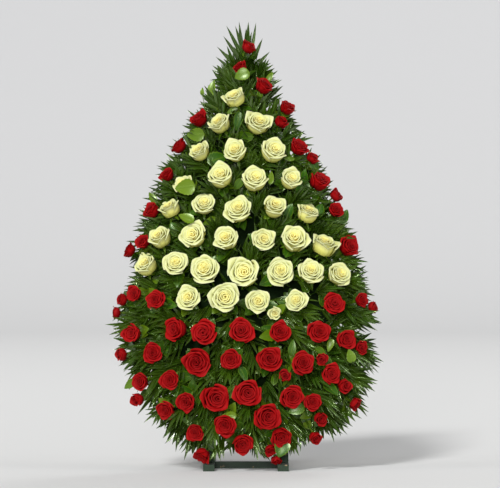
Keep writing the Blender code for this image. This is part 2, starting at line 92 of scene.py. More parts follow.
# %% List the blooms, as (across, up, radius) in millimetres
WHITE_SPRIGS = (
    ((-30, 1010, 29), (-70, 940, 33), (32, 940, 37)),
    ((-125, 863, 31), (-27, 863, 34), (73, 863, 34)),
    ((-167, 772, 29), (-67, 796, 34)),
    ((24, 786, 34), (121, 786, 29)),
    ((-204, 710, 29), (-113, 717, 32), (-20, 702, 39)),
    ((76, 710, 30), (165, 697, 30)),
    ((-230, 629, 31), (-139, 632, 34), (-51, 624, 35)),
    ((47, 621, 32), (131, 621, 36), (211, 611, 35)),
    ((-267, 556, 31), (-189, 555, 35), (-108, 540, 41)),
    ((-4, 534, 41), (92, 532, 38)),
    ((175, 535, 36), (248, 527, 34)),
    ((-151, 464, 35), (-57, 464, 41)),
    ((32, 454, 33), (78, 424, 18), (136, 456, 31)),
)
RED_SPRIGS = (
    ((5, 1150, 23), (-16, 1091, 24), (46, 1042, 27)),
    ((111, 984, 24), (95, 945, 20), (143, 875, 27), (180, 846, 18)),
    ((197, 783, 28), (243, 743, 19), (243, 703, 22)),
    ((275, 603, 31),),
    ((235, 448, 28), (310, 458, 21), (342, 438, 17)),
    ((-127, 953, 27), (-181, 880, 25), (-215, 799, 23)),
    ((-255, 702, 24),),
    ((-278, 616, 22), (-315, 593, 22)),
    ((-240, 459, 27), (-300, 475, 23), (-334, 460, 18), (-350, 424, 17)),
    ((-335, 313, 20), (-305, 370, 25)),
    ((-249, 317, 27), (-201, 246, 27), (-281, 240, 25), (-292, 193, 20)),
    ((-184, 381, 30), (-108, 370, 33)),
    ((-11, 375, 32), (89, 374, 29)),
    ((194, 373, 31), (265, 353, 26), (308, 330, 19)),
    ((-130, 294, 38), (-40, 302, 28)),
    ((62, 302, 34), (106, 258, 17), (150, 290, 32)),
    ((202, 300, 17), (226, 262, 26), (262, 230, 20), (292, 180, 18)),
    ((-213, 166, 26), (-157, 188, 27), (-85, 200, 36)),
    ((3, 213, 35), (51, 150, 35)),
    ((121, 202, 32), (178, 187, 24), (198, 143, 19), (185, 92, 18)),
    ((-116, 46, 22), (-133, 108, 25), (-54, 127, 31), (-11, 78, 27)),
    ((92, 97, 27), (65, 60, 17), (80, 32, 15)),
)
print("roses:", sum(map(len, WHITE_SPRIGS)), "white and", sum(map(len, RED_SPRIGS)), "red")

# %% [markdown]
# ## The teardrop
# The pad's edge is one smooth line, round below and pointed above. It could be a curve with handles pulled
# by eye. A formula is used, a sine that a power pinches towards the top, because it also tells how far out
# any point lies. The depth of the dome and the trimming of the leaves are worked out from that share.


# %% Write the teardrop and its dome
HALF_POINTS, ROUND_POINTS = 200, 1201  # that the outline is measured by


class Teardrop:
    """A rounded outline with its point at the top, in an upright plane."""

    def __init__(self, low, high, half_width, heart):
        self.low = low
        self.high = high
        self.heart = heart
        widest = (1 + POINTEDNESS) / (2 + POINTEDNESS)
        self.scale = half_width / self.shape(2 * math.asin(math.sqrt(widest)))
        points = np.array([self.edge(turn) for turn in np.linspace(0, math.pi, HALF_POINTS)])
        self.angles = np.arctan2(points[:, 0], points[:, 1] - heart)
        self.reaches = np.hypot(points[:, 0], points[:, 1] - heart)

    @staticmethod
    def shape(turn):
        return math.sin(turn) * math.sin(turn / 2) ** POINTEDNESS

    def edge(self, turn):
        across = math.copysign(self.scale * self.shape(abs(turn)), turn)
        return across, self.high - (self.high - self.low) * math.sin(turn / 2) ** 2

    def share(self, across, up):
        """How far out a point lies: 0 at the heart and 1 on the outline."""
        angle = math.atan2(abs(across), up - self.heart)
        return math.hypot(across, up - self.heart) / np.interp(angle, self.angles, self.reaches)

    def even_points(self, count, start=0.0):
        """Points spaced evenly along the outline, clockwise from the top, each with its outward direction."""
        turns = np.linspace(0, math.tau, ROUND_POINTS)
        line = np.array([self.edge(turn if turn <= math.pi else turn - math.tau) for turn in turns])
        run = np.concatenate([[0], np.cumsum(np.hypot(*np.diff(line, axis=0).T))])

        def along(distance):
            distance %= run[-1]
            return Vector((np.interp(distance, run, line[:, 0]), np.interp(distance, run, line[:, 1])))

        points = []
        for distance in (np.arange(count) + start) / count * run[-1]:
            tangent = along(distance + CHORD) - along(distance - CHORD)
            points.append((along(distance), Vector((-tangent.y, tangent.x)).normalized()))
        return points


def dome(share, rim, middle):
    return rim + (middle - rim) * math.sqrt(max(0.0, 1 - min(share, 1.0) ** DOME_POWER))


wreath = Teardrop(WREATH_LOW, WREATH_HIGH, WREATH_HALF_WIDTH, WREATH_HEART)
foam = Teardrop(FOAM_LOW, FOAM_HIGH, FOAM_HALF_WIDTH, FOAM_HEART)


def bloom_depth(across, up):
    return dome(wreath.share(across, up), BLOOM_DEPTH_RIM, BLOOM_DEPTH_MIDDLE)


def foam_depth(across, up):
    return dome(foam.share(across, up), FOAM_EDGE, FOAM_MIDDLE)


print("the foam is", round(foam_depth(0, FOAM_HEART) / MM), "mm thick at its heart")

# %% [markdown]
# ## Where each rose stands
# A rose turns its face away from the heart of the dome, and its stem runs back into the foam. The roses high
# up face the sky more, so from in front their outer petals are seen from outside, like a cup.

# %% Set out the blooms
CUP_FROM, CUP_FULL = 380 * MM, 920 * MM
CUP_TILT = math.radians(26)
FREE_TILT = math.radians(9)
CENTRE_BACK = 0.1  # of its radius, how far a bloom's middle lies behind its widest ring
STEM_PULL, STEM_DEPTH = 0.8, 0.45  # how far out in the foam a stem aims, and how deep into it
LEAST_PULL = 0.97  # of a rose's own way out, where its stem aims if the rose stands well inside
HEAD_DROP = 0.40  # of its radius, how far a tilted head sinks, so that its cup stays in its place
EXTRA_TILT = {"white_roses_05_0": 26, "white_roses_07_0": 20, "white_roses_08_2": 30, "white_roses_09_0": 18,
              "white_roses_06_0": 12, "white_roses_06_1": 22, "white_roses_01_0": 8}  # degrees
dice = np.random.default_rng(7)


def unit(vectors):
    vectors = np.asarray(vectors, float)
    return vectors / np.maximum(np.linalg.norm(vectors, axis=-1, keepdims=True), 1e-12)


def stem_end(place):
    """The point inside the foam that a stem is pushed to."""
    local = PLANE.inverted() @ Vector(place)
    pull = min(LEAST_PULL, STEM_PULL / max(foam.share(local.x, local.y), 0.01))
    across = local.x * pull
    up = foam.heart + (local.y - foam.heart) * pull
    target = np.array(PLANE @ Vector((across, up, STEM_DEPTH * foam_depth(across, up))))
    direction = unit(target - place)
    travelled = 0.0
    while travelled < np.linalg.norm(target - place):
        point = PLANE.inverted() @ Vector(place + direction * travelled)
        if foam.share(point.x, point.y) < 1 and point.z < foam_depth(point.x, point.y):
            break
        travelled += MM
    return place + direction * (travelled + STEM_IN_FOAM)


class Bloom:
    """One rose: its colour, where its widest ring lies, the way it faces and the ends of its stem."""

    def __init__(self, node, number, across, up, radius):
        step = 2 * MM
        self.node = node
        self.name = f"{node}_{number}"
        self.radius = radius
        slope_x = (bloom_depth(across + step, up) - bloom_depth(across - step, up)) / (2 * step)
        slope_z = (bloom_depth(across, up + step) - bloom_depth(across, up - step)) / (2 * step)
        back = BACK_AT_FLOOR + up * math.tan(LEAN)
        self.place = np.array((across, back - bloom_depth(across, up), up))
        facing = unit((-BLOOM_TILT * slope_x, -1, math.tan(LEAN) - BLOOM_TILT * slope_z))
        foot = self.place - facing * BLOOM_FOOT * radius
        self.tip = stem_end(foot)
        high = min(1.0, max(0.0, (up - CUP_FROM) / (CUP_FULL - CUP_FROM)))
        lift = high * CUP_TILT + math.radians(EXTRA_TILT.get(self.name, 0)) + dice.normal() * FREE_TILT / 2
        turn = Matrix.Rotation(-lift, 3, "X")
        sway = Matrix.Rotation(dice.normal() * FREE_TILT, 3, "Z")
        self.facing = np.array((sway @ turn @ Vector(facing)).normalized())
        below_top = min(1.0, (WREATH_HIGH - up) / (WREATH_HIGH - CUP_FULL))
        self.place = self.place - UP * HEAD_DROP * below_top * radius * math.sin(max(0.0, lift))
        self.foot = self.place - self.facing * BLOOM_FOOT * radius
        self.spin = dice.uniform(0, math.tau)
        self.chance = dice.uniform()


blooms = []
for colour, sprigs in (("white", WHITE_SPRIGS), ("red", RED_SPRIGS)):
    for number, sprig in enumerate(sprigs, 1):
        for order, (across, up, radius) in enumerate(sprig):
            blooms.append(Bloom(f"{colour}_roses_{number:02d}", order, across * MM, up * MM, radius * MM))
bloom_centres = np.array([bloom.place - bloom.facing * CENTRE_BACK * bloom.radius for bloom in blooms])
bloom_radii = np.array([bloom.radius for bloom in blooms])
print("blooms set out:", len(blooms))

# %% [markdown]
# ## How a shape is modelled once and used many times
# A wreath is hundreds of petals and thousands of leaflets, all of a few kinds. Each kind is modelled once
# as a flat closed blade. A copy could be bent by modifiers, one object at a time. Bending the points of all
# the copies with array sums gives the same curves in a moment, and each copy still has its own points.


# %% Keep a modelled shape as a form
SHARP = math.radians(70)  # edges that turn further stay sharp


class Form:
    """A shape modelled once: its points, the corners of its faces and their places on the flat pattern."""

    def __init__(self, points, corners, sizes, pattern, tones=None):
        self.points = points
        self.corners = corners
        self.sizes = sizes
        self.pattern = pattern
        self.tones = tones

    @classmethod
    def from_object(cls, obj):
        mesh = obj.data
        points = np.zeros(len(mesh.vertices) * 3)
        mesh.vertices.foreach_get("co", points)
        corners = np.zeros(len(mesh.loops), int)
        mesh.loops.foreach_get("vertex_index", corners)
        sizes = np.array([len(face.vertices) for face in mesh.polygons])
        pattern = np.zeros(len(mesh.loops) * 2)
        mesh.uv_layers[0].data.foreach_get("uv", pattern)
        bpy.data.objects.remove(obj)
        return cls(points.reshape(-1, 3), corners, sizes, pattern.reshape(-1, 2))


class Bunch:
    """Copies of forms that are gathered into the mesh of one piece."""

    def __init__(self):
        self.points, self.tones, self.corners, self.sizes, self.pattern = [], [], [], [], []
        self.count = 0

    def add(self, form, points, tones):
        """Points and tones hold one block of the form's points for each copy."""
        points = points.reshape(-1, 3)
        copies = len(points) // len(form.points)
        if not copies:
            return
        steps = self.count + np.arange(copies) * len(form.points)
        self.points.append(points)
        self.tones.append(np.broadcast_to(tones, (copies, len(form.points), 4)).reshape(-1, 4))
        self.corners.append((form.corners[None, :] + steps[:, None]).ravel())
        self.sizes.append(np.tile(form.sizes, copies))
        self.pattern.append(np.tile(form.pattern, (copies, 1)))
        self.count += len(points)

    def form(self):
        return Form(np.concatenate(self.points), np.concatenate(self.corners), np.concatenate(self.sizes),
                    np.concatenate(self.pattern), np.concatenate(self.tones))

    def piece(self, name, material, slot, nodes=()):
        """Makes the piece, lets it ride on the wreath and hides the plain solids that it stands for."""
        whole = self.form()
        mesh = bpy.data.meshes.new(name)
        mesh.vertices.add(len(whole.points))
        mesh.vertices.foreach_set("co", whole.points.astype(np.float32).ravel())
        mesh.loops.add(len(whole.corners))
        mesh.loops.foreach_set("vertex_index", whole.corners.astype(np.int32))
        mesh.polygons.add(len(whole.sizes))
        mesh.polygons.foreach_set("loop_start", (np.cumsum(whole.sizes) - whole.sizes).astype(np.int32))
        mesh.update(calc_edges=True)
        mesh.uv_layers.new(name="pattern").data.foreach_set("uv", whole.pattern.astype(np.float32).ravel())
        tone = mesh.attributes.new("tone", "FLOAT_COLOR", "POINT")
        tone.data.foreach_set("color", whole.tones.astype(np.float32).ravel())
        mesh.polygons.foreach_set("use_smooth", np.ones(len(whole.sizes), bool))
        mesh.set_sharp_from_angle(angle=SHARP)
        mesh.materials.append(material)
        piece = bpy.data.objects.new(name, mesh)
        bpy.context.scene.collection.objects.link(piece)
        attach(piece, "root")
        if nodes:
            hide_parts(*nodes)
        return piece


# %% Bend copies of a blade or a tube along their runs
def bent_copies(form, roots, alongs, normals, lengths, widths, droops):
    """Copies of a form whose x runs from root to tip; each leaves its root straight and then droops."""
    x, y, z = form.points.T
    along = unit(alongs)
    side = unit(np.cross(normals, along))
    lengths = np.asarray(lengths, float)[:, None, None]
    widths = np.asarray(widths, float)[:, None, None]
    bend = np.asarray(droops, float)[:, None, :]
    run = x[None, :, None]
    centre = np.asarray(roots)[:, None, :] + lengths * (along[:, None, :] * run + bend * run**2)
    tangent = unit(along[:, None, :] + 2 * bend * run)
    face = unit(np.cross(tangent, side[:, None, :]))
    return centre + widths * (side[:, None, :] * y[None, :, None] + face * z[None, :, None])


# %% [markdown]
# ## A flat blade with thin edges
# A petal or leaf is thickest at its middle and thins out to nothing at its rim. A grid is shaped row by row,
# given a wall by Solidify with no thickness at the rim, and the rim's double points are merged. The result
# is a closed body with few faces and no flat edge band.


# %% Shape a grid row by row
def new_grid(columns, rows):
    bpy.ops.object.select_all(action="DESELECT")
    bpy.ops.mesh.primitive_grid_add(x_subdivisions=columns, y_subdivisions=rows, size=2)
    return bpy.context.object


def select_points(obj, test):
    """In edit mode, selects the points that pass a test on their place."""
    shape = bmesh.from_edit_mesh(obj.data)
    for vert in shape.verts:
        vert.select_set(bool(test(vert.co)))
    shape.select_flush_mode()
    bmesh.update_edit_mesh(obj.data)


def close_thin(obj, thick):
    """Gives an open blade a wall that thins out to a closed rim."""
    shape = bmesh.new()
    shape.from_mesh(obj.data)
    inside = [vert.index for vert in shape.verts if not vert.is_boundary]
    shape.free()
    group = obj.vertex_groups.new(name="inside")
    group.add(inside, 1.0, "REPLACE")
    bpy.ops.object.modifier_add(type="SOLIDIFY")
    wall = obj.modifiers[-1]
    wall.thickness = thick
    wall.offset = 0.0
    wall.vertex_group = "inside"
    wall.thickness_vertex_group = 0.0
    bpy.ops.object.modifier_apply(modifier=wall.name)
    bpy.ops.object.mode_set(mode="EDIT")
    bpy.ops.mesh.select_all(action="SELECT")
    bpy.ops.mesh.remove_doubles(threshold=1e-5)
    bpy.ops.mesh.normals_make_consistent(inside=False)
    bpy.ops.object.mode_set(mode="OBJECT")


def blade(rows, columns, half_width, fold, thick, teeth=0.0):
    """A leaf of unit length along x: its rows are drawn in to an outline, and its midrib is folded in."""
    obj = new_grid(rows, columns)
    bpy.ops.object.mode_set(mode="EDIT")
    bpy.ops.transform.resize(value=(0.5, 0.5, 1))
    bpy.ops.transform.translate(value=(0.5, 0, 0))
    for row in range(rows + 1):
        at = row / rows
        wide = half_width(at) * (1 + teeth * (1 if row % 2 else -1))
        select_points(obj, lambda co: abs(co.x - at) < 0.2 / rows)
        bpy.ops.transform.resize(value=(1, max(2 * wide, 0.004), 1), center_override=(at, 0, 0))
    for column in range(columns + 1):
        out = abs(2 * column / columns - 1)
        shape = bmesh.from_edit_mesh(obj.data)
        pattern = shape.loops.layers.uv.active
        for vert in shape.verts:
            across = vert.link_loops[0][pattern].uv.y
            if abs(across - column / columns) < 0.2 / columns:
                vert.co.z += fold * out * half_width(vert.co.x) * 2
        bmesh.update_edit_mesh(obj.data)
    bpy.ops.object.mode_set(mode="OBJECT")
    close_thin(obj, thick)
    return obj


def leaflet_outline(at):
    return 0.5 * math.sin(math.pi * at**0.72) ** 0.9 if 0 < at < 1 else 0.0


def rose_leaf_outline(at):
    return 0.5 * (math.sin(math.pi * at**0.72) ** 0.75) * (1 - 0.12 * at) if 0 < at < 1 else 0.0


leaflet_form = Form.from_object(blade(6, 2, leaflet_outline, fold=0.5, thick=0.06))
rose_leaf_form = Form.from_object(blade(12, 2, rose_leaf_outline, fold=0.16, thick=0.03, teeth=0.05))
sepal_form = Form.from_object(blade(5, 2, leaflet_outline, fold=0.15, thick=0.12))
print("faces of a leaflet and a rose leaf:", len(leaflet_form.sizes), len(rose_leaf_form.sizes))


# %% Model a tapered stalk
def tapered_tube(sides, stretches, tip_share):
    """A closed tube of unit length along x and unit width, that narrows to its tip."""
    bpy.ops.object.select_all(action="DESELECT")
    bpy.ops.mesh.primitive_cone_add(vertices=sides, radius1=0.5, radius2=0.5 * tip_share, depth=1)
    obj = bpy.context.object
    bpy.ops.object.mode_set(mode="EDIT")
    for cut in range(1, stretches):
        bpy.ops.mesh.select_all(action="SELECT")
        bpy.ops.mesh.bisect(plane_co=(0, 0, cut / stretches - 0.5), plane_no=(0, 0, 1))
    bpy.ops.mesh.select_all(action="SELECT")
    bpy.ops.transform.rotate(value=-math.pi / 2, orient_axis="Y", center_override=(0, 0, 0))
    bpy.ops.transform.translate(value=(0.5, 0, 0))
    bpy.ops.object.mode_set(mode="OBJECT")
    return obj


stem_form = Form.from_object(tapered_tube(6, 2, 1.0))
rib_form = Form.from_object(tapered_tube(5, 5, 0.3))
print("a stem runs from", stem_form.points[:, 0].min(), "to", stem_form.points[:, 0].max())

# %% [markdown]
# ## The rose
# A rose is a spiral of petals round a tight bud. Each petal is a cup: narrow at its foot, broad at its
# shoulder, with a lip that rolls back more the further out the petal sits. A flat petal is modelled once.
# Its copies are then wrapped on cups that open step by step, and each is turned by the golden angle from the
# last, as they grow, so the layers lock together like the real ones.

# %% Model a flat petal
PETAL_COLUMNS, PETAL_ROWS = 8, 5
PETAL_THICK = 0.016
petal = new_grid(PETAL_COLUMNS, PETAL_ROWS)
close_thin(petal, PETAL_THICK)
petal_form = Form.from_object(petal)
petal_up = np.clip((petal_form.points[:, 1] + 1) / 2, 0, 1)
petal_back = np.clip(0.5 - petal_form.points[:, 2] / (0.4 * PETAL_THICK), 0, 1)
print("faces of a petal:", len(petal_form.sizes))

# %% Wrap a petal on its cup
GOLDEN_TURN = math.radians(137.5)
CREST_UP = 0.72  # how far up a petal its lip starts to roll outwards
SECTORS = 24  # that a bloom's width is averaged over


def cup_wall(up, crest, peak, share):
    """Out and up along a petal's middle, from its foot to its crest, in bloom radii."""
    foot = (0.04 + 0.05 * share, -0.62)
    belly = (0.14 + 0.62 * share, -0.56 - 0.04 * share)
    shoulder = (crest + 0.05 + 0.04 * share, peak - 0.40)
    weights = ((1 - up) ** 3, 3 * up * (1 - up) ** 2, 3 * up**2 * (1 - up), up**3)
    knots = (foot, belly, shoulder, (crest, peak))
    out = sum(weight * knot[0] for weight, knot in zip(weights, knots))
    rise = sum(weight * knot[1] for weight, knot in zip(weights, knots))
    return out, rise


def petal_surface(across, up, shape):
    """The petal's point at across, from -1 to 1, and up, from 0 at its foot to 1 at its lip."""
    share = shape["share"]
    side = np.abs(across)
    rounding = (0.05 + 0.15 * share) * side**1.8
    out, rise = cup_wall(np.minimum(up / CREST_UP, 1) * (1 - rounding), shape["crest"], shape["peak"], share)
    rolled = np.clip((up - CREST_UP) / (1 - CREST_UP), 0, 1) * shape["roll"]
    point = 1 + shape["tip"] * np.maximum(0, 1 - side / 0.55)
    bend = shape["lip"] / (1 - math.cos(shape["roll"])) * point * (1 - 0.25 * side**2)
    ruffle = shape["wave"] * np.sin(shape["phase"] + 4.4 * across) * up**3
    out = out + bend * (1 - np.cos(rolled)) + shape["spiral"] * across * up + ruffle
    rise = rise + bend * np.sin(rolled) + 0.8 * ruffle - 0.05 * share * np.clip(side - 0.6, 0, 1) * up
    narrow = 0.5 + 0.5 * np.sin(np.pi / 2 * np.minimum(1, up / 0.5))
    angle = shape["turn"] + across * shape["half"] * narrow * (1 - 0.12 * up**4)
    return np.stack([out * np.cos(angle), out * np.sin(angle), rise], -1)


def wrapped_petal(shape):
    """The flat petal's points, laid on the surface with half their thickness on each side."""
    across = petal_form.points[:, 0]
    up = 1 - (1 - petal_up) ** 1.5
    step = 0.01
    middle = petal_surface(across, up, shape)
    over = petal_surface(across + step, up, shape) - petal_surface(across - step, up, shape)
    rise = petal_surface(across, np.minimum(up + step, 1), shape) - petal_surface(across, up - step, shape)
    normal = unit(np.cross(over, rise))
    return middle + normal * petal_form.points[:, 2:3]


def rose_form(seed, petals, openness=1.0):
    """A whole bloom facing +Z, a radius wide: open at 1, a cup at half way, a bud at 0."""
    draw = np.random.default_rng(seed)
    bunch = Bunch()
    heart = draw.normal(0, 0.05, 2)
    for number in range(petals):
        share = number / (petals - 1)
        points = wrapped_petal({
            "share": share,
            "crest": 0.04 + (0.50 + 0.26 * openness) * share**0.95 + draw.normal(0, 0.012),
            "peak": 0.64 - 0.06 * share - (0.06 + 0.22 * openness) * share**2 + draw.normal(0, 0.02),
            "lip": 0.042 + 0.03 * share + (0.04 + 0.10 * openness) * share**3,
            "roll": math.radians(draw.uniform(90, 150)),
            "half": 1.9 - 1.0 * share**0.7,
            "turn": number * GOLDEN_TURN + draw.normal(0, 0.12),
            "spiral": draw.uniform(-0.3, 1.0) * (0.025 + 0.02 * share),
            "wave": draw.uniform(0.006, 0.035) * (0.4 + share),
            "phase": draw.uniform(0, math.tau),
            "tip": draw.uniform(0.1, 1.1) * share**2,
        })
        points[:, :2] += heart * (1 - share) * np.clip(points[:, 2:3] + 0.6, 0, 1)
        same = np.ones_like(petal_up)
        tones = np.stack([petal_up, share * same, draw.uniform() * same, petal_back], -1)
        bunch.add(petal_form, points, tones)
    rose = bunch.form()
    angles = np.arctan2(rose.points[:, 1], rose.points[:, 0])
    reaches = np.hypot(rose.points[:, 0], rose.points[:, 1])
    sectors = np.floor((angles / math.tau + 0.5) * SECTORS).astype(int)
    edge = np.mean([reaches[sectors == sector].max() for sector in range(SECTORS)])
    rose.points[:, :2] /= edge
    return rose


HALF_ROSE_SIZE = 1.07  # a cup is seen from its side, so it needs to be a little larger
OPEN_ROSES = [rose_form(seed, petals) for seed, petals in ((1, 31), (2, 29), (3, 33), (4, 30))]
HALF_ROSES = [rose_form(seed, petals, openness=0.45) for seed, petals in ((11, 25), (12, 27), (13, 24))]
for rose in HALF_ROSES:
    rose.points *= HALF_ROSE_SIZE
BUD_ROSES = [rose_form(seed, petals, openness=0.1) for seed, petals in ((21, 13), (22, 15))]
print("points of an open rose:", len(OPEN_ROSES[0].points))


# %% [markdown]
# ## Finishes
# Petals and leaves take their colours from four numbers that each point carries: how far it is from its
# foot, which layer it belongs to, a chance of its own, and whether it is on the back. So one material
# colours every rose of a kind, and no two look alike. A picture could be painted on, but a formula stays
# sharp at any size.


# %% Wrap the shader's sockets
class Value:
    """A socket of a shader; sums on it add the Math nodes that work them out."""

    def __init__(self, finish, socket):
        self.finish = finish
        self.socket = socket

    def math(self, operation, *others, first=None):
        terms = [self, *others] if first is None else [first, self, *others]
        return self.finish.node("Math", {"operation": operation}, dict(enumerate(terms)))

    def __add__(self, other):
        return self.math("ADD", other)

    __radd__ = __add__

    def __sub__(self, other):
        return self.math("SUBTRACT", other)

    def __rsub__(self, other):
        return self.math("SUBTRACT", first=other)

    def __mul__(self, other):
        return self.math("MULTIPLY", other)

    __rmul__ = __mul__

    def __truediv__(self, other):
        return self.math("DIVIDE", other)

    def __pow__(self, other):
        return self.math("POWER", other)

    def clamped(self):
        return self.math("MAXIMUM", 0.0).math("MINIMUM", 1.0)

    def step(self, low, high):
        """0 below low, 1 above high and smooth between."""
        settings = {"interpolation_type": "SMOOTHSTEP"}
        return self.finish.node("MapRange", settings, {0: self, 1: low, 2: high})


class Finish:
    """A material and the nodes behind its Principled shader."""

    def __init__(self, name, roughness, **numbers):
        self.material = bpy.data.materials.new(name)
        self.material.use_nodes = True
        self.tree = self.material.node_tree
        self.shader = self.tree.nodes["Principled BSDF"]
        self.shader.inputs["Roughness"].default_value = roughness
        for socket, number in numbers.items():
            self.shader.inputs[socket.replace("_", " ")].default_value = number

    def put(self, socket, value):
        if isinstance(value, Value):
            self.tree.links.new(value.socket, socket)
        elif isinstance(value, tuple) and len(value) == 3 and socket.type == "RGBA":
            socket.default_value = (*value, 1.0)
        else:
            socket.default_value = value

    def node(self, kind, settings=None, inputs=None, output=0):
        """Adds a node of a type, makes its settings, fills its sockets and returns one output."""
        made = self.tree.nodes.new("ShaderNode" + kind)
        for name, value in (settings or {}).items():
            setattr(made, name, value)
        for name, value in (inputs or {}).items():
            self.put(made.inputs[name], value)
        return Value(self, made.outputs[output])

    def mix(self, share, first, second):
        return self.node("Mix", {"data_type": "RGBA"}, {0: share, 6: first, 7: second}, output=2)

    def tones(self):
        """Foot to tip, layer, chance and back, as each point carries them."""
        tone = self.node("Attribute", {"attribute_name": "tone"})
        parts = [self.node("SeparateColor", None, {0: tone}, output=number) for number in range(3)]
        return *parts, self.node("Attribute", {"attribute_name": "tone"}, output=3)

    def noise(self, scale, detail=3.0, place=None, stretch=None):
        place = place or self.node("TexCoord", output=3)
        if stretch:
            place = self.node("Mapping", None, {"Vector": place, "Scale": stretch})
        return self.node("TexNoise", None, {"Vector": place, "Scale": scale, "Detail": detail})

    def turned_place(self, turn):
        """The place in space, turned so that a piece's length runs along x."""
        return self.node("Mapping", None, {"Vector": self.node("TexCoord", output=3), "Rotation": turn})

    def pattern(self):
        return self.node("UVMap", {"uv_map": "pattern"})

    def colour(self, value):
        self.put(self.shader.inputs["Base Color"], value)

    def relief(self, height, distance, strength=1.0):
        inputs = {"Height": height, "Distance": distance, "Strength": strength}
        self.put(self.shader.inputs["Normal"], self.node("Bump", None, inputs))


# %% [markdown]
# ## Petals
# A cream rose is amber at its heart and greenish on its backs, and a red one is darkest where no light gets
# in between its petals. In one flat colour the spiral would be lost. So the colours are mixed by layer, by
# height on the petal and by side, and fine veins run along each petal as a noise that is stretched on its
# pattern. On the red petals that darkness is painted shade, towards the heart, the backs and the feet.

# %% White petals
CREAM_OUTER = (0.56, 0.56, 0.36)
CREAM_HEART = (1.0, 0.90, 0.30)
CREAM_BACK = (0.60, 0.64, 0.27)
CREAM_VEIN = (0.74, 0.74, 0.33)
CREAM_BRUISE = (0.62, 0.55, 0.24)
CREAM_FOOT = (0.66, 0.64, 0.12)
AMBER_FOOT = (0.98, 0.74, 0.09)


def white_petal_finish():
    finish = Finish("white_rose_petal", 0.6, Specular_IOR_Level=0.2)
    up, layer, chance, back = finish.tones()
    cream = finish.mix(layer.step(0.10, 0.65), CREAM_HEART, CREAM_OUTER)
    cream = finish.mix(back * 0.7, cream, CREAM_BACK)
    foot = finish.mix(layer.step(0.2, 0.7), AMBER_FOOT, CREAM_FOOT)
    cream = finish.mix((1 - up).step(0.1, 0.75) * 0.9, cream, foot)
    veins = finish.noise(3.0, place=finish.pattern(), stretch=(9.0, 1.0, 1.0))
    cream = finish.mix(veins.step(0.45, 0.75) * 0.22, cream, CREAM_VEIN)
    bruise = (up.step(0.9, 1.0) * chance.step(0.6, 1.0)) * 0.25
    finish.colour(finish.mix(bruise, cream, CREAM_BRUISE))
    finish.relief(veins, 0.0004, 0.5)
    return finish.material


white_petal = white_petal_finish()
print("white petal nodes:", len(white_petal.node_tree.nodes))

# %% Red petals
RED_FACE = (0.35, 0.001, 0.001)
RED_DARK_AND_SHADE = (0.15, 0.0, 0.001)
RED_VEIN = (0.36, 0.0, 0.003)


def red_petal_finish():
    finish = Finish("red_rose_petal", 0.65, Specular_IOR_Level=0.12)
    up, layer, chance, back = finish.tones()
    # Darker towards the inner layers, on the backs and towards the foot: painted shade where the petals shade
    # each other. The chance adds a random tone.
    red = finish.mix((1 - layer).step(0.3, 1.0) * 0.45, RED_FACE, RED_DARK_AND_SHADE)
    red = finish.mix(back * 0.35 + chance * 0.25, red, RED_DARK_AND_SHADE)
    red = finish.mix((1 - up).step(0.2, 0.9), red, RED_DARK_AND_SHADE)
    veins = finish.noise(3.0, place=finish.pattern(), stretch=(9.0, 1.0, 1.0))
    finish.colour(finish.mix(veins.step(0.45, 0.75) * 0.3, red, RED_VEIN))
    finish.relief(veins, 0.0004, 0.5)
    return finish.material


red_petal = red_petal_finish()
print("red petal nodes:", len(red_petal.node_tree.nodes))

# %% [markdown]
# ## Leaves
# Palm leaflets are narrow and waxed, with veins along them. Rose leaves are duller, with veins that slant
# away from the midrib. Both have a pale rib, the leaf's own, and a pale rim, a painted highlight, so one
# function makes the two. Each leaf is darker towards its foot, as painted shade deep in the foliage. Pale
# spots could be painted on for the glints. A clear coat over the wax gives them by itself, and they move as
# the wreath is turned.

# %% Palm leaflets and rose leaves
PALM_GREEN = (0.011, 0.046, 0.001)
PALM_DARK_AND_SHADE = (0.001, 0.007, 0.0)
PALM_FRESH = (0.072, 0.130, 0.005)
LEAF_WAX = (0.75, 1.0, 0.45, 1.0)  # the tint of the sheen on a leaf
LEAF_COAT = 0.7  # of the gloss, how strong the clear coat is
LEAF_BACK = (0.07, 0.14, 0.02)


def leaf_finish(name, middle, dark_and_shade, fresh, roughness, gloss, side_veins):
    finish = Finish(name, roughness, Specular_IOR_Level=gloss, Specular_Tint=LEAF_WAX,
                    Coat_Weight=LEAF_COAT * gloss, Coat_Roughness=roughness)
    up, shade, chance, back = finish.tones()
    # Dark to middle green by each copy's chance, a random tone, and darker towards each leaf's foot: painted
    # shade, as deep in the foliage.
    green = finish.mix(chance ** 1.3 * (0.35 + up.step(0.0, 0.55) * 0.65), dark_and_shade, middle)
    green = finish.mix(shade, green, fresh)
    place = finish.pattern()
    across = finish.node("SeparateXYZ", None, {0: place}, output=1)
    along = finish.node("SeparateXYZ", None, {0: place}, output=0)
    side = (across - 0.5).math("ABSOLUTE")
    rib = 1 - side.step(0.015, 0.06)
    if side_veins:
        slant = (along * 7.0 - side * 5.0).math("FRACT")
        veins = 1 - (slant - 0.5).math("ABSOLUTE").step(0.02, 0.14)
    else:
        veins = (across * 9.0).math("FRACT").math("PINGPONG", 0.5)
    # A pale midrib, the leaf's own, and a pale band along the rim: painted highlight on the edges.
    green = finish.mix((rib + side.step(0.38, 0.48)) * (0.15 + chance * 0.55), green, fresh)
    green = finish.mix(veins * 0.12, green, fresh)
    finish.colour(finish.mix(back * 0.25, green, LEAF_BACK))
    finish.relief(veins + rib * 2.0, 0.0003, 0.6)
    return finish.material


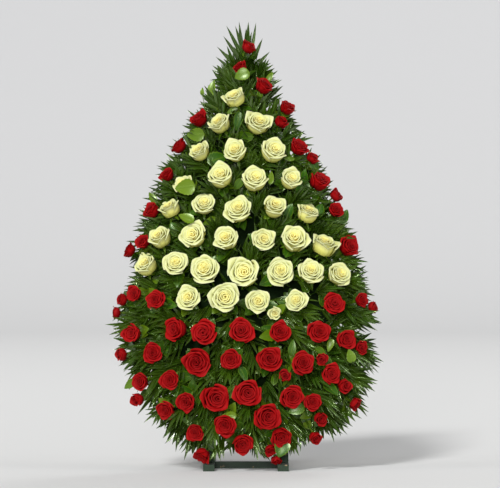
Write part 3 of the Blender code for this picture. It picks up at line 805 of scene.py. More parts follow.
PALM_ROUGHNESS, PALM_GLOSS = 0.15, 1.0
palm_leaf = leaf_finish("palm_leaflet", PALM_GREEN, PALM_DARK_AND_SHADE, PALM_FRESH, PALM_ROUGHNESS, PALM_GLOSS,
                        side_veins=False)
ROSE_LEAF_GREEN = (0.010, 0.075, 0.002)
ROSE_LEAF_DARK_AND_SHADE = (0.003, 0.024, 0.001)
ROSE_LEAF_FRESH = (0.11, 0.18, 0.004)
ROSE_LEAF_ROUGHNESS, ROSE_LEAF_GLOSS = 0.26, 0.4
rose_leaf = leaf_finish("rose_leaf", ROSE_LEAF_GREEN, ROSE_LEAF_DARK_AND_SHADE, ROSE_LEAF_FRESH, ROSE_LEAF_ROUGHNESS,
                        ROSE_LEAF_GLOSS, side_veins=True)
print("leaf finishes:", palm_leaf.name, rose_leaf.name)

# %% [markdown]
# ## The roses, one piece for each sprig
# Each sprig of neighbouring roses gets a piece of petals and a piece of green: hips, sepals, stems and the
# serrated leaves that fill the room between two flowers.

# %% Choose a rose for each place
SMALL_BLOOM = 21 * MM
HALF_OPEN_SHARE = 0.25  # of the large roses
SHUFFLE = 97  # spreads a bloom's chance over the roses of its kind


def chosen_rose(bloom):
    roses = OPEN_ROSES
    if bloom.name in EXTRA_TILT or bloom.chance < HALF_OPEN_SHARE:
        roses = HALF_ROSES
    if bloom.radius < SMALL_BLOOM:
        roses = BUD_ROSES
    return roses[int(bloom.chance * SHUFFLE) % len(roses)]


def petals_of(bloom, bunch):
    rose = chosen_rose(bloom)
    turned = Vector(bloom.facing).to_track_quat("Z", "Y").to_matrix() @ Matrix.Rotation(bloom.spin, 3, "Z")
    points = bloom.place + (rose.points * bloom.radius) @ np.array(turned).T
    tones = rose.tones.copy()
    tones[:, 2] = 0.5 * tones[:, 2] + 0.5 * bloom.chance
    bunch.add(rose, points, tones)


kinds = [chosen_rose(bloom) for bloom in blooms]
for label, roses in (("open", OPEN_ROSES), ("half open", HALF_ROSES), ("buds", BUD_ROSES)):
    print(label + ":", sum(kind in roses for kind in kinds))

# %% [markdown]
# ## The green of a rose
# Under the petals sits a hip like a small vase, with five sepals, a stem and toothed leaves. The hip is a
# sphere that is turned and pinched. Leaves could be placed one by one, but there are hundreds. They are
# thrown out from the stem at random, and those that would run through a flower are left off.


# %% Model the hip under a bloom
def hip_profile():
    """A small vase of unit length along x, from the stem to the petals."""
    bpy.ops.object.select_all(action="DESELECT")
    bpy.ops.mesh.primitive_uv_sphere_add(segments=8, ring_count=6, radius=0.5)
    obj = bpy.context.object
    bpy.ops.object.mode_set(mode="EDIT")
    bpy.ops.transform.rotate(value=-math.pi / 2, orient_axis="Y", center_override=(0, 0, 0))
    bpy.ops.transform.translate(value=(0.5, 0, 0))
    select_points(obj, lambda co: co.x < 0.4)
    bpy.ops.transform.resize(value=(1, 0.62, 0.62), center_override=(0.4, 0, 0))
    bpy.ops.object.mode_set(mode="OBJECT")
    return obj


hip_form = Form.from_object(hip_profile())
print("faces of a hip:", len(hip_form.sizes))


# %% Find the room between the blooms
FREE_SHARE = 0.86  # of a bloom's radius that leaves keep out of
FRONT_SHARE = 0.88  # of a bloom's radius that palm leaves don't hang before
SAMPLES = 6  # points along a leaf that are tested


def plain_tones(form, shade, chance, copies=1):
    """Tones for leaves: foot to tip from the form, a shade of yellow, and a chance for each copy."""
    across = form.points[:, 0]
    back = (form.points[:, 2] < form.points[:, 2].mean() - 1e-4) * 1.0
    tones = np.zeros((copies, len(across), 4))
    tones[..., 0] = across
    tones[..., 1] = np.reshape(shade, (-1, 1))
    tones[..., 2] = np.reshape(chance, (-1, 1))
    tones[..., 3] = back
    return tones


def clear_of_blooms(points):
    """For each row of points, whether all of it stays out of the blooms."""
    distance = np.linalg.norm(points[:, :, None, :] - bloom_centres[None, None], axis=-1)
    room = distance - FREE_SHARE * bloom_radii
    return room.min(axis=(1, 2)) > 0


def before_a_bloom(points):
    """For each row of points, whether any of it hangs over the front of a bloom."""
    offset = points[:, :, None, :] - bloom_centres[None, None]
    ahead = offset @ OUT
    aside = np.linalg.norm(offset - ahead[..., None] * OUT, axis=-1)
    return ((ahead > 0) & (aside < FRONT_SHARE * bloom_radii)).any(axis=(1, 2))


def leaf_samples(roots, alongs, lengths, droops, start=0.15):
    """Points along each leaf, from a share of its length to its tip."""
    steps = np.linspace(start, 1, SAMPLES)[None, :, None]
    lengths = np.asarray(lengths)[:, None, None]
    bends = unit(alongs)[:, None] * steps + np.asarray(droops)[:, None] * steps**2
    return np.asarray(roots)[:, None] + lengths * bends


# %% Give a bloom its hip, stem, sepals and leaves
HIP_LONG, HIP_WIDE = 0.34, 0.36  # of the bloom's radius
STEM_WIDE = 5.2 * MM
STEM_SAG = 0.02
HIP_TONES, STEM_TONES = (0.35, 0.7), (0.3, 0.6)  # a shade of yellow, and the chance that sets the green
SEPAL_SHADE, LEAF_SHADE = 0.45, 0.12
SEPALS = 5
SEPAL_UP, SEPAL_OUT = 0.26, 0.14  # of the bloom's radius, where the sepals sit on the hip
LEAVES_PER_STEM = 6
LEAF_TRIES = 4 * LEAVES_PER_STEM
LEAF_LONG = 56 * MM
LEAF_WIDE = 0.62  # of its length
YELLOW_SHARE = 0.2  # of the leaves
STRAIGHT = np.zeros(3)


def spokes(axis, turns):
    """Directions square to an axis, one for each turn round it."""
    sideways = unit(np.cross(axis, UP))
    return np.cos(turns)[:, None] * sideways + np.sin(turns)[:, None] * np.cross(axis, sideways)


def add_hip_and_stem(bloom, bunch, draw):
    sideways = unit(np.cross(bloom.facing, UP))
    run = bloom.tip - bloom.foot
    sag = unit(np.cross(run, sideways)) * draw.normal(0, STEM_SAG)
    hip = bent_copies(hip_form, [bloom.foot], [bloom.facing], [sideways], [HIP_LONG * bloom.radius],
                      [HIP_WIDE * bloom.radius], [STRAIGHT])
    stem = bent_copies(stem_form, [bloom.foot], [run], [sideways], [np.linalg.norm(run)], [STEM_WIDE], [sag])
    bunch.add(hip_form, hip, plain_tones(hip_form, *HIP_TONES))
    bunch.add(stem_form, stem, plain_tones(stem_form, *STEM_TONES))


def add_sepals(bloom, bunch, draw):
    axis = bloom.facing
    radial = spokes(axis, np.arange(SEPALS) / SEPALS * math.tau + draw.uniform(0, math.tau))
    roots = bloom.foot + axis * SEPAL_UP * bloom.radius + radial * SEPAL_OUT * bloom.radius
    alongs = radial + axis * draw.uniform(-0.7, 0.5, (SEPALS, 1))
    lengths = bloom.radius * draw.uniform(0.6, 0.95, SEPALS)
    droops = np.tile(-0.2 * axis, (SEPALS, 1))
    copies = bent_copies(sepal_form, roots, alongs, axis - radial, lengths, 0.3 * lengths, droops)
    tones = plain_tones(sepal_form, SEPAL_SHADE, draw.uniform(size=SEPALS), SEPALS)
    bunch.add(sepal_form, copies, tones)


def add_rose_leaves(bloom, bunch, draw):
    axis = bloom.facing
    radial = spokes(axis, draw.uniform(0, math.tau, LEAF_TRIES))
    depth = draw.uniform(0.05, 0.5, (LEAF_TRIES, 1))
    roots = bloom.foot + (bloom.tip - bloom.foot) * depth + radial * STEM_WIDE * 0.4
    alongs = radial + axis * draw.uniform(0.25, 0.9, (LEAF_TRIES, 1))
    lengths = LEAF_LONG * draw.uniform(0.75, 1.15, LEAF_TRIES) * min(1.0, 0.5 + bloom.radius / (60 * MM))
    droops = -axis * draw.uniform(0.1, 0.3, (LEAF_TRIES, 1))
    kept = np.flatnonzero(clear_of_blooms(leaf_samples(roots, alongs, lengths, droops, start=0.3)))
    kept = kept[:LEAVES_PER_STEM]
    count = len(kept)
    if count:
        yellow = draw.uniform(size=count) < YELLOW_SHARE
        shades = np.where(yellow, draw.uniform(0.6, 1.0, count), LEAF_SHADE)
        tones = plain_tones(rose_leaf_form, shades, draw.uniform(size=count), count)
        faces = np.tile(axis, (count, 1))
        copies = bent_copies(rose_leaf_form, roots[kept], alongs[kept], faces, lengths[kept],
                             LEAF_WIDE * lengths[kept], droops[kept])
        bunch.add(rose_leaf_form, copies, tones)


# %% Make the sprigs
for colour, sprigs, finish in (("white", WHITE_SPRIGS, white_petal), ("red", RED_SPRIGS, red_petal)):
    for number in range(1, len(sprigs) + 1):
        node = f"{colour}_roses_{number:02d}"
        petals, greens = Bunch(), Bunch()
        draw = np.random.default_rng(100 * (colour == "red") + number)
        for bloom in blooms:
            if bloom.node == node:
                petals_of(bloom, petals)
                add_hip_and_stem(bloom, greens, draw)
                add_sepals(bloom, greens, draw)
                add_rose_leaves(bloom, greens, draw)
        petals.piece(node + "_petals", finish, f"{colour}_petals", [node])
        greens.piece(node + "_greens", rose_leaf, "palm_leaf", [node])
print("sprigs made:", len(WHITE_SPRIGS) + len(RED_SPRIGS))

# %% [markdown]
# ## The palm
# A palm frond is a tapered rib with two ranks of long narrow leaflets, each folded along its middle, that
# lie nearly flat and point to the tip. Fronds are pushed into the pad's edge all round in several layers,
# and shorter ones stand in the front between the roses. Leaflets that would run through a rose are left off,
# as the florist strips them.


# %% Trim leaflets to the wreath's outline
SHORTEST_LEAFLET = 30 * MM
OUTLINE_FREE = 0.03
LOWEST_TIP = 22 * MM
TRIMS, TRIM = 7, 0.88  # how often a leaflet may be cut, and what is left of it each time
# How far the foliage reaches, as a share of the teardrop, by the degrees from the top to the right
OUTLINE = ((-180, 0.91), (-166, 1.02), (-150, 1.01), (-115, 0.98), (-95, 1.06), (-72, 0.95), (-55, 1.02),
           (-25, 1.03), (0, 1.04), (12, 0.97), (45, 0.97), (70, 1.0), (90, 1.02), (105, 1.05), (130, 1.09),
           (145, 1.04), (155, 0.97), (167, 1.02), (180, 0.91))


def reach_share(across, up):
    """1 where the foliage ends on average, more outside and less inside."""
    degrees = math.degrees(math.atan2(across, up - wreath.heart))
    return wreath.share(across, up) / np.interp(degrees, *np.array(OUTLINE).T)


def trimmed(roots, alongs, lengths, droops, draw, reach=1.0):
    """Lengths cut until each tip lies within the outline, give or take a little, and above the floor."""
    lengths = np.array(lengths, float)
    limits = reach + draw.normal(0, OUTLINE_FREE, len(lengths))
    for _ in range(TRIMS):
        tips = roots + lengths[:, None] * (unit(alongs) + droops)
        shares = np.array([reach_share(tip[0], tip[2]) for tip in tips])
        lengths = np.where((shares > limits) | (tips[:, 2] < LOWEST_TIP), TRIM * lengths, lengths)
    return lengths


print("the foliage reaches", max(share for _, share in OUTLINE), "of the teardrop at most")


# %% Gather fronds
SHORTEST_RIB, RIB_CUT = 34 * MM, 5 * MM
RIB_WIDE = 3.4 * MM
FIRST_PAIR, PAIR_RUN = 0.10, 0.88  # where along the rib the leaflets start, and how far they go on
FOOT_ANGLE, TIP_ANGLE = 44, 12  # degrees from the rib, at the frond's foot and at its tip
FROND_SAG = 0.12
END_LEAFLET = 0.8  # of the others' length
DEEPEST_SHADE = 0.35
FRONT_CUTS, FRONT_CUT = 4, 0.8  # how often a leaflet that hides a bloom is cut back, and what is left of it


class Fronds:
    """Ribs and leaflets of many fronds, until they become one piece."""

    def __init__(self, seed, light=1.0, reach=1.0):
        self.draw = np.random.default_rng(seed)
        self.light = light
        self.reach = reach
        self.ribs, self.leaflets = [], []

    def fitting_length(self, root, heading, length, leaf_long):
        """A rib's length, cut until its end leaflet lies within the outline."""
        while length > SHORTEST_RIB:
            tip = root + heading * (length + 0.7 * leaf_long)
            if reach_share(tip[0], tip[2]) < self.reach:
                break
            length -= RIB_CUT
        return length

    def add(self, root, heading, face, length, pitch, leaf_long, leaf_wide):
        """One frond from its root, at most this long; face is the way its flat side looks."""
        draw = self.draw
        heading = unit(heading)
        length = self.fitting_length(root, heading, length, leaf_long)
        pairs = max(3, round(length / pitch))
        side = unit(np.cross(face, heading))
        face = np.cross(heading, side)
        droop = DOWN * FROND_SAG * draw.uniform(0.5, 1.4) - face * FROND_SAG * 0.5
        shade = draw.uniform(0, DEEPEST_SHADE)
        self.ribs.append((root, heading, face, length, RIB_WIDE, droop, shade))
        for number in range(pairs):
            share = (number + 0.5) / pairs
            at = FIRST_PAIR + PAIR_RUN * share
            foot = root + length * (heading * at + droop * at**2)
            tangent = unit(heading + 2 * droop * at)
            angle = math.radians(FOOT_ANGLE + (TIP_ANGLE - FOOT_ANGLE) * share)
            reach = leaf_long * (0.72 + 0.6 * share - 0.62 * share**2)
            for hand in (-1, 1):
                turn = angle + draw.normal(0, 0.07)
                along = math.cos(turn) * tangent + hand * math.sin(turn) * side
                along = along + face * draw.normal(0.10, 0.09)
                normal = face + hand * side * draw.normal(-0.35, 0.35) + tangent * draw.normal(0, 0.15)
                bend = DOWN * draw.uniform(0.02, 0.14) - face * draw.uniform(0.02, 0.12)
                long = reach * draw.uniform(0.85, 1.12)
                wide = leaf_wide * draw.uniform(0.85, 1.15)
                self.leaflets.append((foot, along, normal, long, wide, bend, shade))
        tip = root + length * (heading + droop)
        tangent = unit(heading + 2 * droop)
        self.leaflets.append((tip, tangent, face, leaf_long * END_LEAFLET, leaf_wide, droop * 0.5, shade))

    def piece(self, name, nodes=()):
        """Makes the fronds one piece; leaflets that hide or cross a bloom are cut back or left off."""
        bunch = Bunch()
        roots, alongs, normals, lengths, widths, droops, shades = map(np.array, zip(*self.leaflets))
        lengths = trimmed(roots, alongs, lengths, droops, self.draw, self.reach)
        for _ in range(FRONT_CUTS):
            hiding = before_a_bloom(leaf_samples(roots, alongs, lengths, droops))
            lengths = np.where(hiding, FRONT_CUT * lengths, lengths)
        free = clear_of_blooms(leaf_samples(roots, alongs, lengths, droops)) & (lengths > SHORTEST_LEAFLET)
        # Each leaflet's chance, a random tone, is scaled down for fronds low in the foliage: painted shade.
        chances = self.draw.uniform(size=len(roots)) * self.light
        leaflets = [column[free] for column in (roots, alongs, normals, lengths, widths, droops)]
        tones = plain_tones(leaflet_form, shades[free], chances[free], free.sum())
        bunch.add(leaflet_form, bent_copies(leaflet_form, *leaflets), tones)
        *ribs, shades = map(np.array, zip(*self.ribs))
        tones = plain_tones(rib_form, shades, 0.8 * self.light, len(shades))
        bunch.add(rib_form, bent_copies(rib_form, *ribs), tones)
        bunch.piece(name, palm_leaf, "palm_leaf", nodes)
        print(name, "leaflets:", free.sum(), "of", len(free))


def on_plane(point, depth):
    return np.array(PLANE @ Vector((point[0], point[1], depth)))


def along_plane(direction, forward=0.0):
    return direction[0] * ACROSS + direction[1] * UP + forward * OUT


def compass(degrees):
    """A direction on the wreath's plane, clockwise from straight up."""
    return Vector((math.sin(math.radians(degrees)), math.cos(math.radians(degrees))))


# %% [markdown]
# ## The rim
# The fringe gives the wreath its outline. One ring of fronds would leave gaps at its foot, so a first ring
# lies where the plain solids lie, and three more rise over it. Each leans further forward than the one
# below, which turns the flat fringe into the thick collar of the real one.

# %% Fronds of the rim, where the plain ones stand
RIM_PITCH = 13 * MM
# The last number darkens this ring's greens, as painted shade under the layers over it.
RIM_SUNK, RIM_FORWARD, RIM_PAINTED_LIGHT = 6 * MM, 0.05, 0.6
RIM_RIB, RIM_LEAFLET, RIM_LEAFLET_WIDE = 90 * MM, 86 * MM, 10 * MM
for number, (foot, outward) in enumerate(foam.even_points(FROND_SPRIGS), 1):
    fronds = Fronds(200 + number, RIM_PAINTED_LIGHT)
    root = on_plane(foot - outward * RIM_SUNK, FROND_LEVEL)
    for spread in (-FROND_SPREAD, 0.0, FROND_SPREAD):
        heading = along_plane(Matrix.Rotation(spread, 2) @ outward, RIM_FORWARD)
        fronds.add(root, heading, OUT, RIM_RIB, RIM_PITCH, RIM_LEAFLET, RIM_LEAFLET_WIDE)
    fronds.piece(f"palm_fronds_{number:02d}_leaflets", [f"palm_fronds_{number:02d}"])

# %% Layers of fronds over the rim, as (name, share, depth, count, forward, rib, leaflet, light)
# The last number darkens the greens of the lower layers, as painted shade.
RIM_LAYERS = (("palm_rim_low", 0.97, 28, 32, 0.18, 100, 92, 0.5),
              ("palm_rim_middle", 0.90, 46, 30, 0.36, 115, 94, 0.8),
              ("palm_rim_high", 0.78, 68, 28, 0.52, 125, 90, 1.0))
POINT_LEAN = 1.3  # how strongly fronds near the point lean up to it
LAYER_SWAY = 0.16
LAYER_LEAFLET_WIDE = 9.5 * MM


def spray_heading(foot, outward):
    """Outwards, but up along the sides of the point, as the florist lays the top fronds."""
    away = (foot - Vector((0, foam.heart))).normalized()
    high = max(0.0, (foot.y - foam.heart) / (foam.high - foam.heart))
    return (outward + POINT_LEAN * high * away).normalized()


for layer, (name, share, depth, count, forward, rib_long, leaf_long, light) in enumerate(RIM_LAYERS):
    fronds = Fronds(300 + layer, light)
    middle = Vector((0, foam.heart))
    for foot, outward in foam.even_points(count, start=0.35 + 0.3 * layer):
        root = on_plane(middle + (foot - middle) * share, depth * MM)
        heading = Matrix.Rotation(fronds.draw.normal(0, LAYER_SWAY), 2) @ spray_heading(foot, outward)
        heading = along_plane(heading, forward)
        fronds.add(root, heading, OUT, rib_long * MM, RIM_PITCH, leaf_long * MM, LAYER_LEAFLET_WIDE)
    fronds.piece(name)

# %% [markdown]
# ## Fronds that are set one by one
# A few fronds reach out past the small roses of the rim, and a fan of them closes the point. They could be
# thrown out at random like the others, but these make the outline that one knows the wreath by. So each is
# listed with its place in millimetres, its direction in degrees from straight up and its lean or length.

# %% Fronds past the rim's small roses, and those at the point, as (across, up, degrees, forward)
STRAY_FRONDS = (
    (205, 235, 118, 0.3), (215, 200, 128, 0.22), (180, 165, 135, 0.3), (222, 270, 105, 0.35),
    (-150, 160, -148, 0.25), (-120, 150, -160, 0.2), (-230, 330, -105, 0.3), (120, 160, 155, 0.25),
)
CROWN = ((-38, 1000, -40, 0.10), (30, 1005, 36, 0.10), (-22, 1045, -26, 0.06), (20, 1050, 20, 0.16),
         (-30, 1015, -30, 0.30), (26, 1025, 26, 0.34), (-12, 1040, -14, 0.55), (14, 1036, 18, 0.62),
         (0, 1062, 2, 0.85), (-24, 1060, -50, 0.60), (22, 1066, 44, 0.70))
SET_LEAFLET, SET_LEAFLET_WIDE = 88 * MM, 10 * MM
for name, seed, places, depth, rib_long, pitch in (("palm_strays", 340, STRAY_FRONDS, 40, 125, 15),
                                                   ("palm_crown", 350, CROWN, 24, 110, 14)):
    fronds = Fronds(seed)
    for across, up, degrees, forward in places:
        root = on_plane((across * MM, up * MM), depth * MM)
        heading = along_plane(compass(degrees), forward)
        fronds.add(root, heading, OUT, rib_long * MM, pitch * MM, SET_LEAFLET, SET_LEAFLET_WIDE)
    fronds.piece(name)

# %% The fan of leaflets at the point, as (across, up, degrees, long)
FAN = (
    (-8, 1116, -26, 108), (-4, 1126, -9, 100), (3, 1126, 2, 100), (8, 1122, 11, 102), (-14, 1104, -32, 94),
    (-22, 1084, -40, 92), (-20, 1064, -46, 90), (-28, 1046, -50, 86), (12, 1100, 24, 84), (16, 1080, 40, 78),
    (18, 1058, 52, 74), (24, 1034, 50, 84), (-2, 1118, -17, 98), (5, 1110, 7, 90),
)
FAN_DEPTH, FAN_REACH, FAN_LEAFLET_WIDE = 26 * MM, 1.2, 11.5 * MM
FAN_RIB_FOOT, FAN_RIB_DEPTH, FAN_RIB, FAN_RIB_WIDE = 1060 * MM, 20 * MM, 85 * MM, 4 * MM
fronds = Fronds(351, reach=FAN_REACH)
for across, up, degrees, long in FAN:
    along = along_plane(compass(degrees), fronds.draw.normal(0.12, 0.06))
    face = OUT + ACROSS * fronds.draw.normal(0, 0.35)
    root = on_plane((across * MM, up * MM / math.cos(LEAN)), FAN_DEPTH)
    shade = fronds.draw.uniform(0, DEEPEST_SHADE)
    fronds.leaflets.append((root, along, face, long * MM, FAN_LEAFLET_WIDE, DOWN * 0.03, shade))
root = on_plane((0, FAN_RIB_FOOT), FAN_RIB_DEPTH)
fronds.ribs.append((root, UP, OUT, FAN_RIB, FAN_RIB_WIDE, 0.04 * OUT, 0.2))
fronds.piece("palm_point")

# %% [markdown]
# ## Between the roses
# Short fronds stand between the flowers, so that no foam shows. In rows they would look like a pattern, and
# by plain chance they would clump. So places are drawn at random, and one is kept only if it is far enough
# from all that were kept before. Each frond leans out of the dome, away from the heart.

# %% Fronds between the roses
INNER_SPACING = 34 * MM
INNER_TRIES = 2600
INNER_EDGE = 0.9  # how far out in the foam they stand
# The last number darkens these fronds' greens a little, as painted shade.
INNER_SUNK, INNER_SWAY, INNER_PAINTED_LIGHT = 4 * MM, 0.45, 0.85
INNER_RIB, INNER_PITCH = 82 * MM, 12.5 * MM
INNER_LEAFLET, INNER_LEAFLET_WIDE = 78 * MM, 9.5 * MM


def inner_roots(draw):
    """Places over the pad's front that keep their distance from each other."""
    kept = []
    for _ in range(INNER_TRIES):
        point = Vector((draw.uniform(-FOAM_HALF_WIDTH, FOAM_HALF_WIDTH), draw.uniform(FOAM_LOW, FOAM_HIGH)))
        if foam.share(*point) < INNER_EDGE and all((point - other).length > INNER_SPACING for other in kept):
            kept.append(point)
    return kept


fronds = Fronds(400, INNER_PAINTED_LIGHT)
for point in inner_roots(fronds.draw):
    outward = (point - Vector((0, FOAM_HEART))).normalized()
    outward = Matrix.Rotation(fronds.draw.normal(0, INNER_SWAY), 2) @ outward
    heading = along_plane(outward, fronds.draw.uniform(0.35, 0.9))
    root = on_plane(point, foam_depth(*point) - INNER_SUNK)
    face = OUT - 0.3 * along_plane(outward)
    fronds.add(root, heading, face, INNER_RIB, INNER_PITCH, INNER_LEAFLET, INNER_LEAFLET_WIDE)
fronds.piece("palm_between_roses")

# %% [markdown]
# ## Broad leaves
# Single rose leaves lie flat here and there and catch the light. Some are turning yellow, and one hides half
# a rose. The eye goes straight to them, so they aren't left to chance: each is listed with its place, its
# turn, its size and its shade. A thin stalk runs from each into the foam.

# %% Broad leaves, as (across, up, turn, long, wide, yellow, proud)
BROAD_LEAVES = (
    (-12, 1072, 200, 46, 0.8, 0.7, 30), (-95, 1037, 80, 48, 0.55, 0.95, -4),
    (-121, 1031, 95, 26, 0.5, 0.95, 0), (66, 1070, 60, 34, 0.5, 0.85, 0), (-6, 904, 175, 54, 0.55, 0.3, 0),
    (-138, 908, 185, 50, 0.8, 0.7, 26), (-77, 842, 20, 60, 0.75, 0.1, 0),
    (37, 1015, 250, 42, 0.5, 0.45, -8), (-35, 975, 200, 36, 0.6, 0.6, -8),
    (-22, 946, 260, 52, 0.5, 0.02, -4), (186, 824, 300, 44, 0.65, 0.05, 2), (68, 791, 80, 40, 0.45, 1, 0),
    (-163, 764, 190, 52, 0.9, 1, 42), (151, 761, 240, 52, 0.75, 0.04, 0),
    (159, 795, 100, 42, 0.65, 0.04, 8), (-22, 771, 230, 40, 0.6, 0.3, 0), (116, 842, 180, 34, 0.4, 0.55, 0),
    (-160, 680, 150, 44, 0.7, 1, 36), (-97, 670, 200, 44, 0.6, 0.7, 4), (-46, 151, 180, 42, 0.6, 0.95, 10),
    (199, 703, 80, 46, 0.75, 0.02, 5), (117, 702, 70, 44, 0.65, 0.02, 0),
    (-193, 650, 120, 46, 0.7, 0.04, 0), (268, 686, 60, 48, 0.6, 0.02, 5), (-255, 736, 120, 36, 0.6, 0.7, 0),
    (95, 62, 250, 50, 0.9, 0.02, 12), (135, 167, 200, 46, 0.7, 0.25, 0), (230, 221, 330, 50, 0.7, 0.05, 6),
    (281, 310, 100, 38, 0.75, 0.8, 20), (226, 338, 250, 36, 0.55, 0.85, 0),
    (202, 321, 330, 40, 0.6, 0.3, 0), (124, 332, 80, 42, 0.55, 0.2, 0), (-97, 250, 330, 40, 0.5, 0.2, 0),
    (-40, 214, 250, 42, 0.55, 0.35, 0), (76, 250, 80, 36, 0.6, 0.35, 0), (-313, 232, 220, 40, 0.6, 0.6, 0),
    (-6, 262, 300, 44, 0.6, 0.05, 0),
)
LEAF_TILT = 0.35
LEAF_SUNK = 8  # millimetres that a leaf lies in the dome, unless it stands proud
STALK_WIDE = 2.2 * MM
STALK_TONES = (0.4, 0.7)


def leaf_place(across, up, proud):
    """A point on the blooms' dome, or this far in front of it."""
    back = BACK_AT_FLOOR + up * math.tan(LEAN)
    return np.array((across, back - bloom_depth(across, up) - proud, up))


broad = Bunch()
draw = np.random.default_rng(500)
for across, up, degrees, long, wide, yellow, proud in BROAD_LEAVES:
    turn = math.radians(degrees)
    flat = np.array((math.cos(turn), 0.0, math.sin(turn)))
    along = flat + np.array((0.0, -LEAF_TILT, 0.0)) * draw.uniform(-0.6, 1.0)
    root = leaf_place(across * MM, up * MM, (proud - LEAF_SUNK) * MM) - flat * 0.5 * long * MM
    face = unit(OUT + ACROSS * draw.normal(0, 0.3) + UP * draw.normal(0, 0.3))
    leaf = bent_copies(rose_leaf_form, [root], [along], [face], [long * MM], [long * wide * MM],
                       [-0.2 * face])
    broad.add(rose_leaf_form, leaf, plain_tones(rose_leaf_form, yellow, draw.uniform(0.6, 1.0)))
    run = stem_end(root) - root
    stalk = bent_copies(stem_form, [root], [run], [ACROSS], [np.linalg.norm(run)], [STALK_WIDE], [STRAIGHT])
    broad.add(stem_form, stalk, plain_tones(stem_form, *STALK_TONES))
broad.piece("broad_leaves", rose_leaf, "palm_leaf")
print("broad leaves:", len(BROAD_LEAVES))

# %% [markdown]
# ## Foam
# The foam, the plywood and the laths keep their solids and get a finish. Wet floral foam is a dark green
# sponge, made darker still as painted shade under the leaves. Its pores could be dents in the mesh, but
# they are under a millimetre, so a fine noise in the colour and in the relief is enough. The pores are
# painted darker, as painted shade inside them.


# %% Foam
# The sponge's dark green, darkened further as painted shade under the leaves, and its pores' painted shade.
FOAM_DARK, FOAM_PALE, FOAM_PORE_SHADE = (0.002, 0.007, 0.001), (0.006, 0.016, 0.002), (0.001, 0.003, 0.001)


def finish_node(name, material):
    """Gives a solid of the frame its finish."""
    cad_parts[name].material_slots[0].material = material
    print(name, "is finished with", material.name)


def foam_finish():
    finish = Finish("wet_foam", 0.95, Specular_IOR_Level=0.1)
    pores = finish.noise(900.0, detail=2.0)
    blotch = finish.noise(14.0)
    green = finish.mix(blotch, FOAM_DARK, FOAM_PALE)
    # The pores are painted darker: painted shade inside them.
    finish.colour(finish.mix(pores.step(0.4, 0.6) * 0.5, green, FOAM_PORE_SHADE))
    finish.relief(pores, 0.001, 0.7)
    return finish.material


finish_node("foam_pad", foam_finish())

# %% [markdown]
# ## Plywood
# The back is sawn from a sheet, so its face shows the broad rings of a peeled log and its edge shows the
# plies. Wood could be a picture of grain, but a pattern in space fits the face and the edge at once. It is
# turned to lean as the sheet does: stretched noise for the rings and the fibre, and stripes through the
# thickness.

# %% Plywood
LEANING = (math.pi / 2 + LEAN, 0, math.pi / 2)  # turns a leaning piece's length to the pattern's x
PLY_THICK = 1.8 * MM
PLY_LIGHT, PLY_DARK, PLY_GLUE = (0.60, 0.45, 0.29), (0.47, 0.32, 0.18), (0.22, 0.13, 0.07)


def plywood_finish():
    """Broad rings up the face, and the plies as stripes on the sawn edge."""
    finish = Finish("plywood", 0.62, Specular_IOR_Level=0.3)
    place = finish.turned_place(LEANING)
    rings = finish.noise(1.0, detail=4.0, place=place, stretch=(3.0, 60.0, 60.0))
    fibre = finish.noise(1.0, detail=2.0, place=place, stretch=(30.0, 900.0, 900.0))
    depth = finish.node("SeparateXYZ", None, {0: place}, output=2)
    depth = depth + BACK_AT_FLOOR * -math.cos(LEAN)
    plies = (depth / (2 * PLY_THICK)).math("FRACT").step(0.42, 0.5)
    wood = finish.mix(rings.step(0.35, 0.65), PLY_LIGHT, PLY_DARK)
    wood = finish.mix(plies * 0.35, wood, PLY_GLUE)
    finish.colour(finish.mix(fibre * 0.3, wood, PLY_GLUE))
    finish.relief(fibre, 0.0004, 0.4)
    return finish.material


finish_node("back_panel", plywood_finish())

# %% [markdown]
# ## Laths
# Such stands are painted dark green, so that they hide below the flowers. The laths could have plain paint,
# but they are cheap planed wood under one brushed coat: grain and brush marks show through, and it is rubbed
# off in spots. The grain runs along each lath, so the pattern is turned for each way that a lath lies.

# %% Painted laths
PAINT, PAINT_WORN, BARE_LATH = (0.005, 0.018, 0.006), (0.010, 0.030, 0.011), (0.30, 0.21, 0.12)
PROP_RISE, PROP_RUN = 640 * MM, 380 * MM
LATH_TURNS = (("leaning", LEANING, ("rail_left", "rail_right", "spine_lath")),
              ("propping", (math.atan2(PROP_RISE, PROP_RUN), 0, math.pi / 2), ("prop_left", "prop_right")),
              ("deep", (0, 0, math.pi / 2), ("runner_left", "runner_right")),
              ("across", (0, 0, 0), ("base_lath", "cross_lath")))


def painted_finish(name, turn):
    """Brushed paint over planed wood: the grain shows through as faint lines, and some is rubbed off."""
    finish = Finish(name, 0.5, Specular_IOR_Level=0.25)
    place = finish.turned_place(turn)
    grain = finish.noise(1.0, detail=4.0, place=place, stretch=(8.0, 260.0, 260.0))
    brush = finish.noise(1.0, detail=2.0, place=place, stretch=(12.0, 700.0, 700.0))
    rubbed = finish.noise(70.0, detail=4.0)
    paint = finish.mix(grain.step(0.35, 0.7), PAINT, PAINT_WORN)
    finish.colour(finish.mix(rubbed.step(0.64, 0.70) * grain.step(0.40, 0.55), paint, BARE_LATH))
    finish.put(finish.shader.inputs["Roughness"], 0.42 + rubbed * 0.2)
    finish.relief(grain + brush * 0.5, 0.0004, 0.5)
    return finish.material


for name, turn, nodes in LATH_TURNS:
    paint = painted_finish("green_paint_" + name, turn)
    for node in nodes:
        finish_node(node, paint)

# %% [markdown]
# ## The studio
# The wreath stands on a pale floor in soft light. A square floor would show its far edge as a line behind
# the wreath. A round one whose edge curves up into a wall, as a photographer hangs paper, shows none from
# any side.

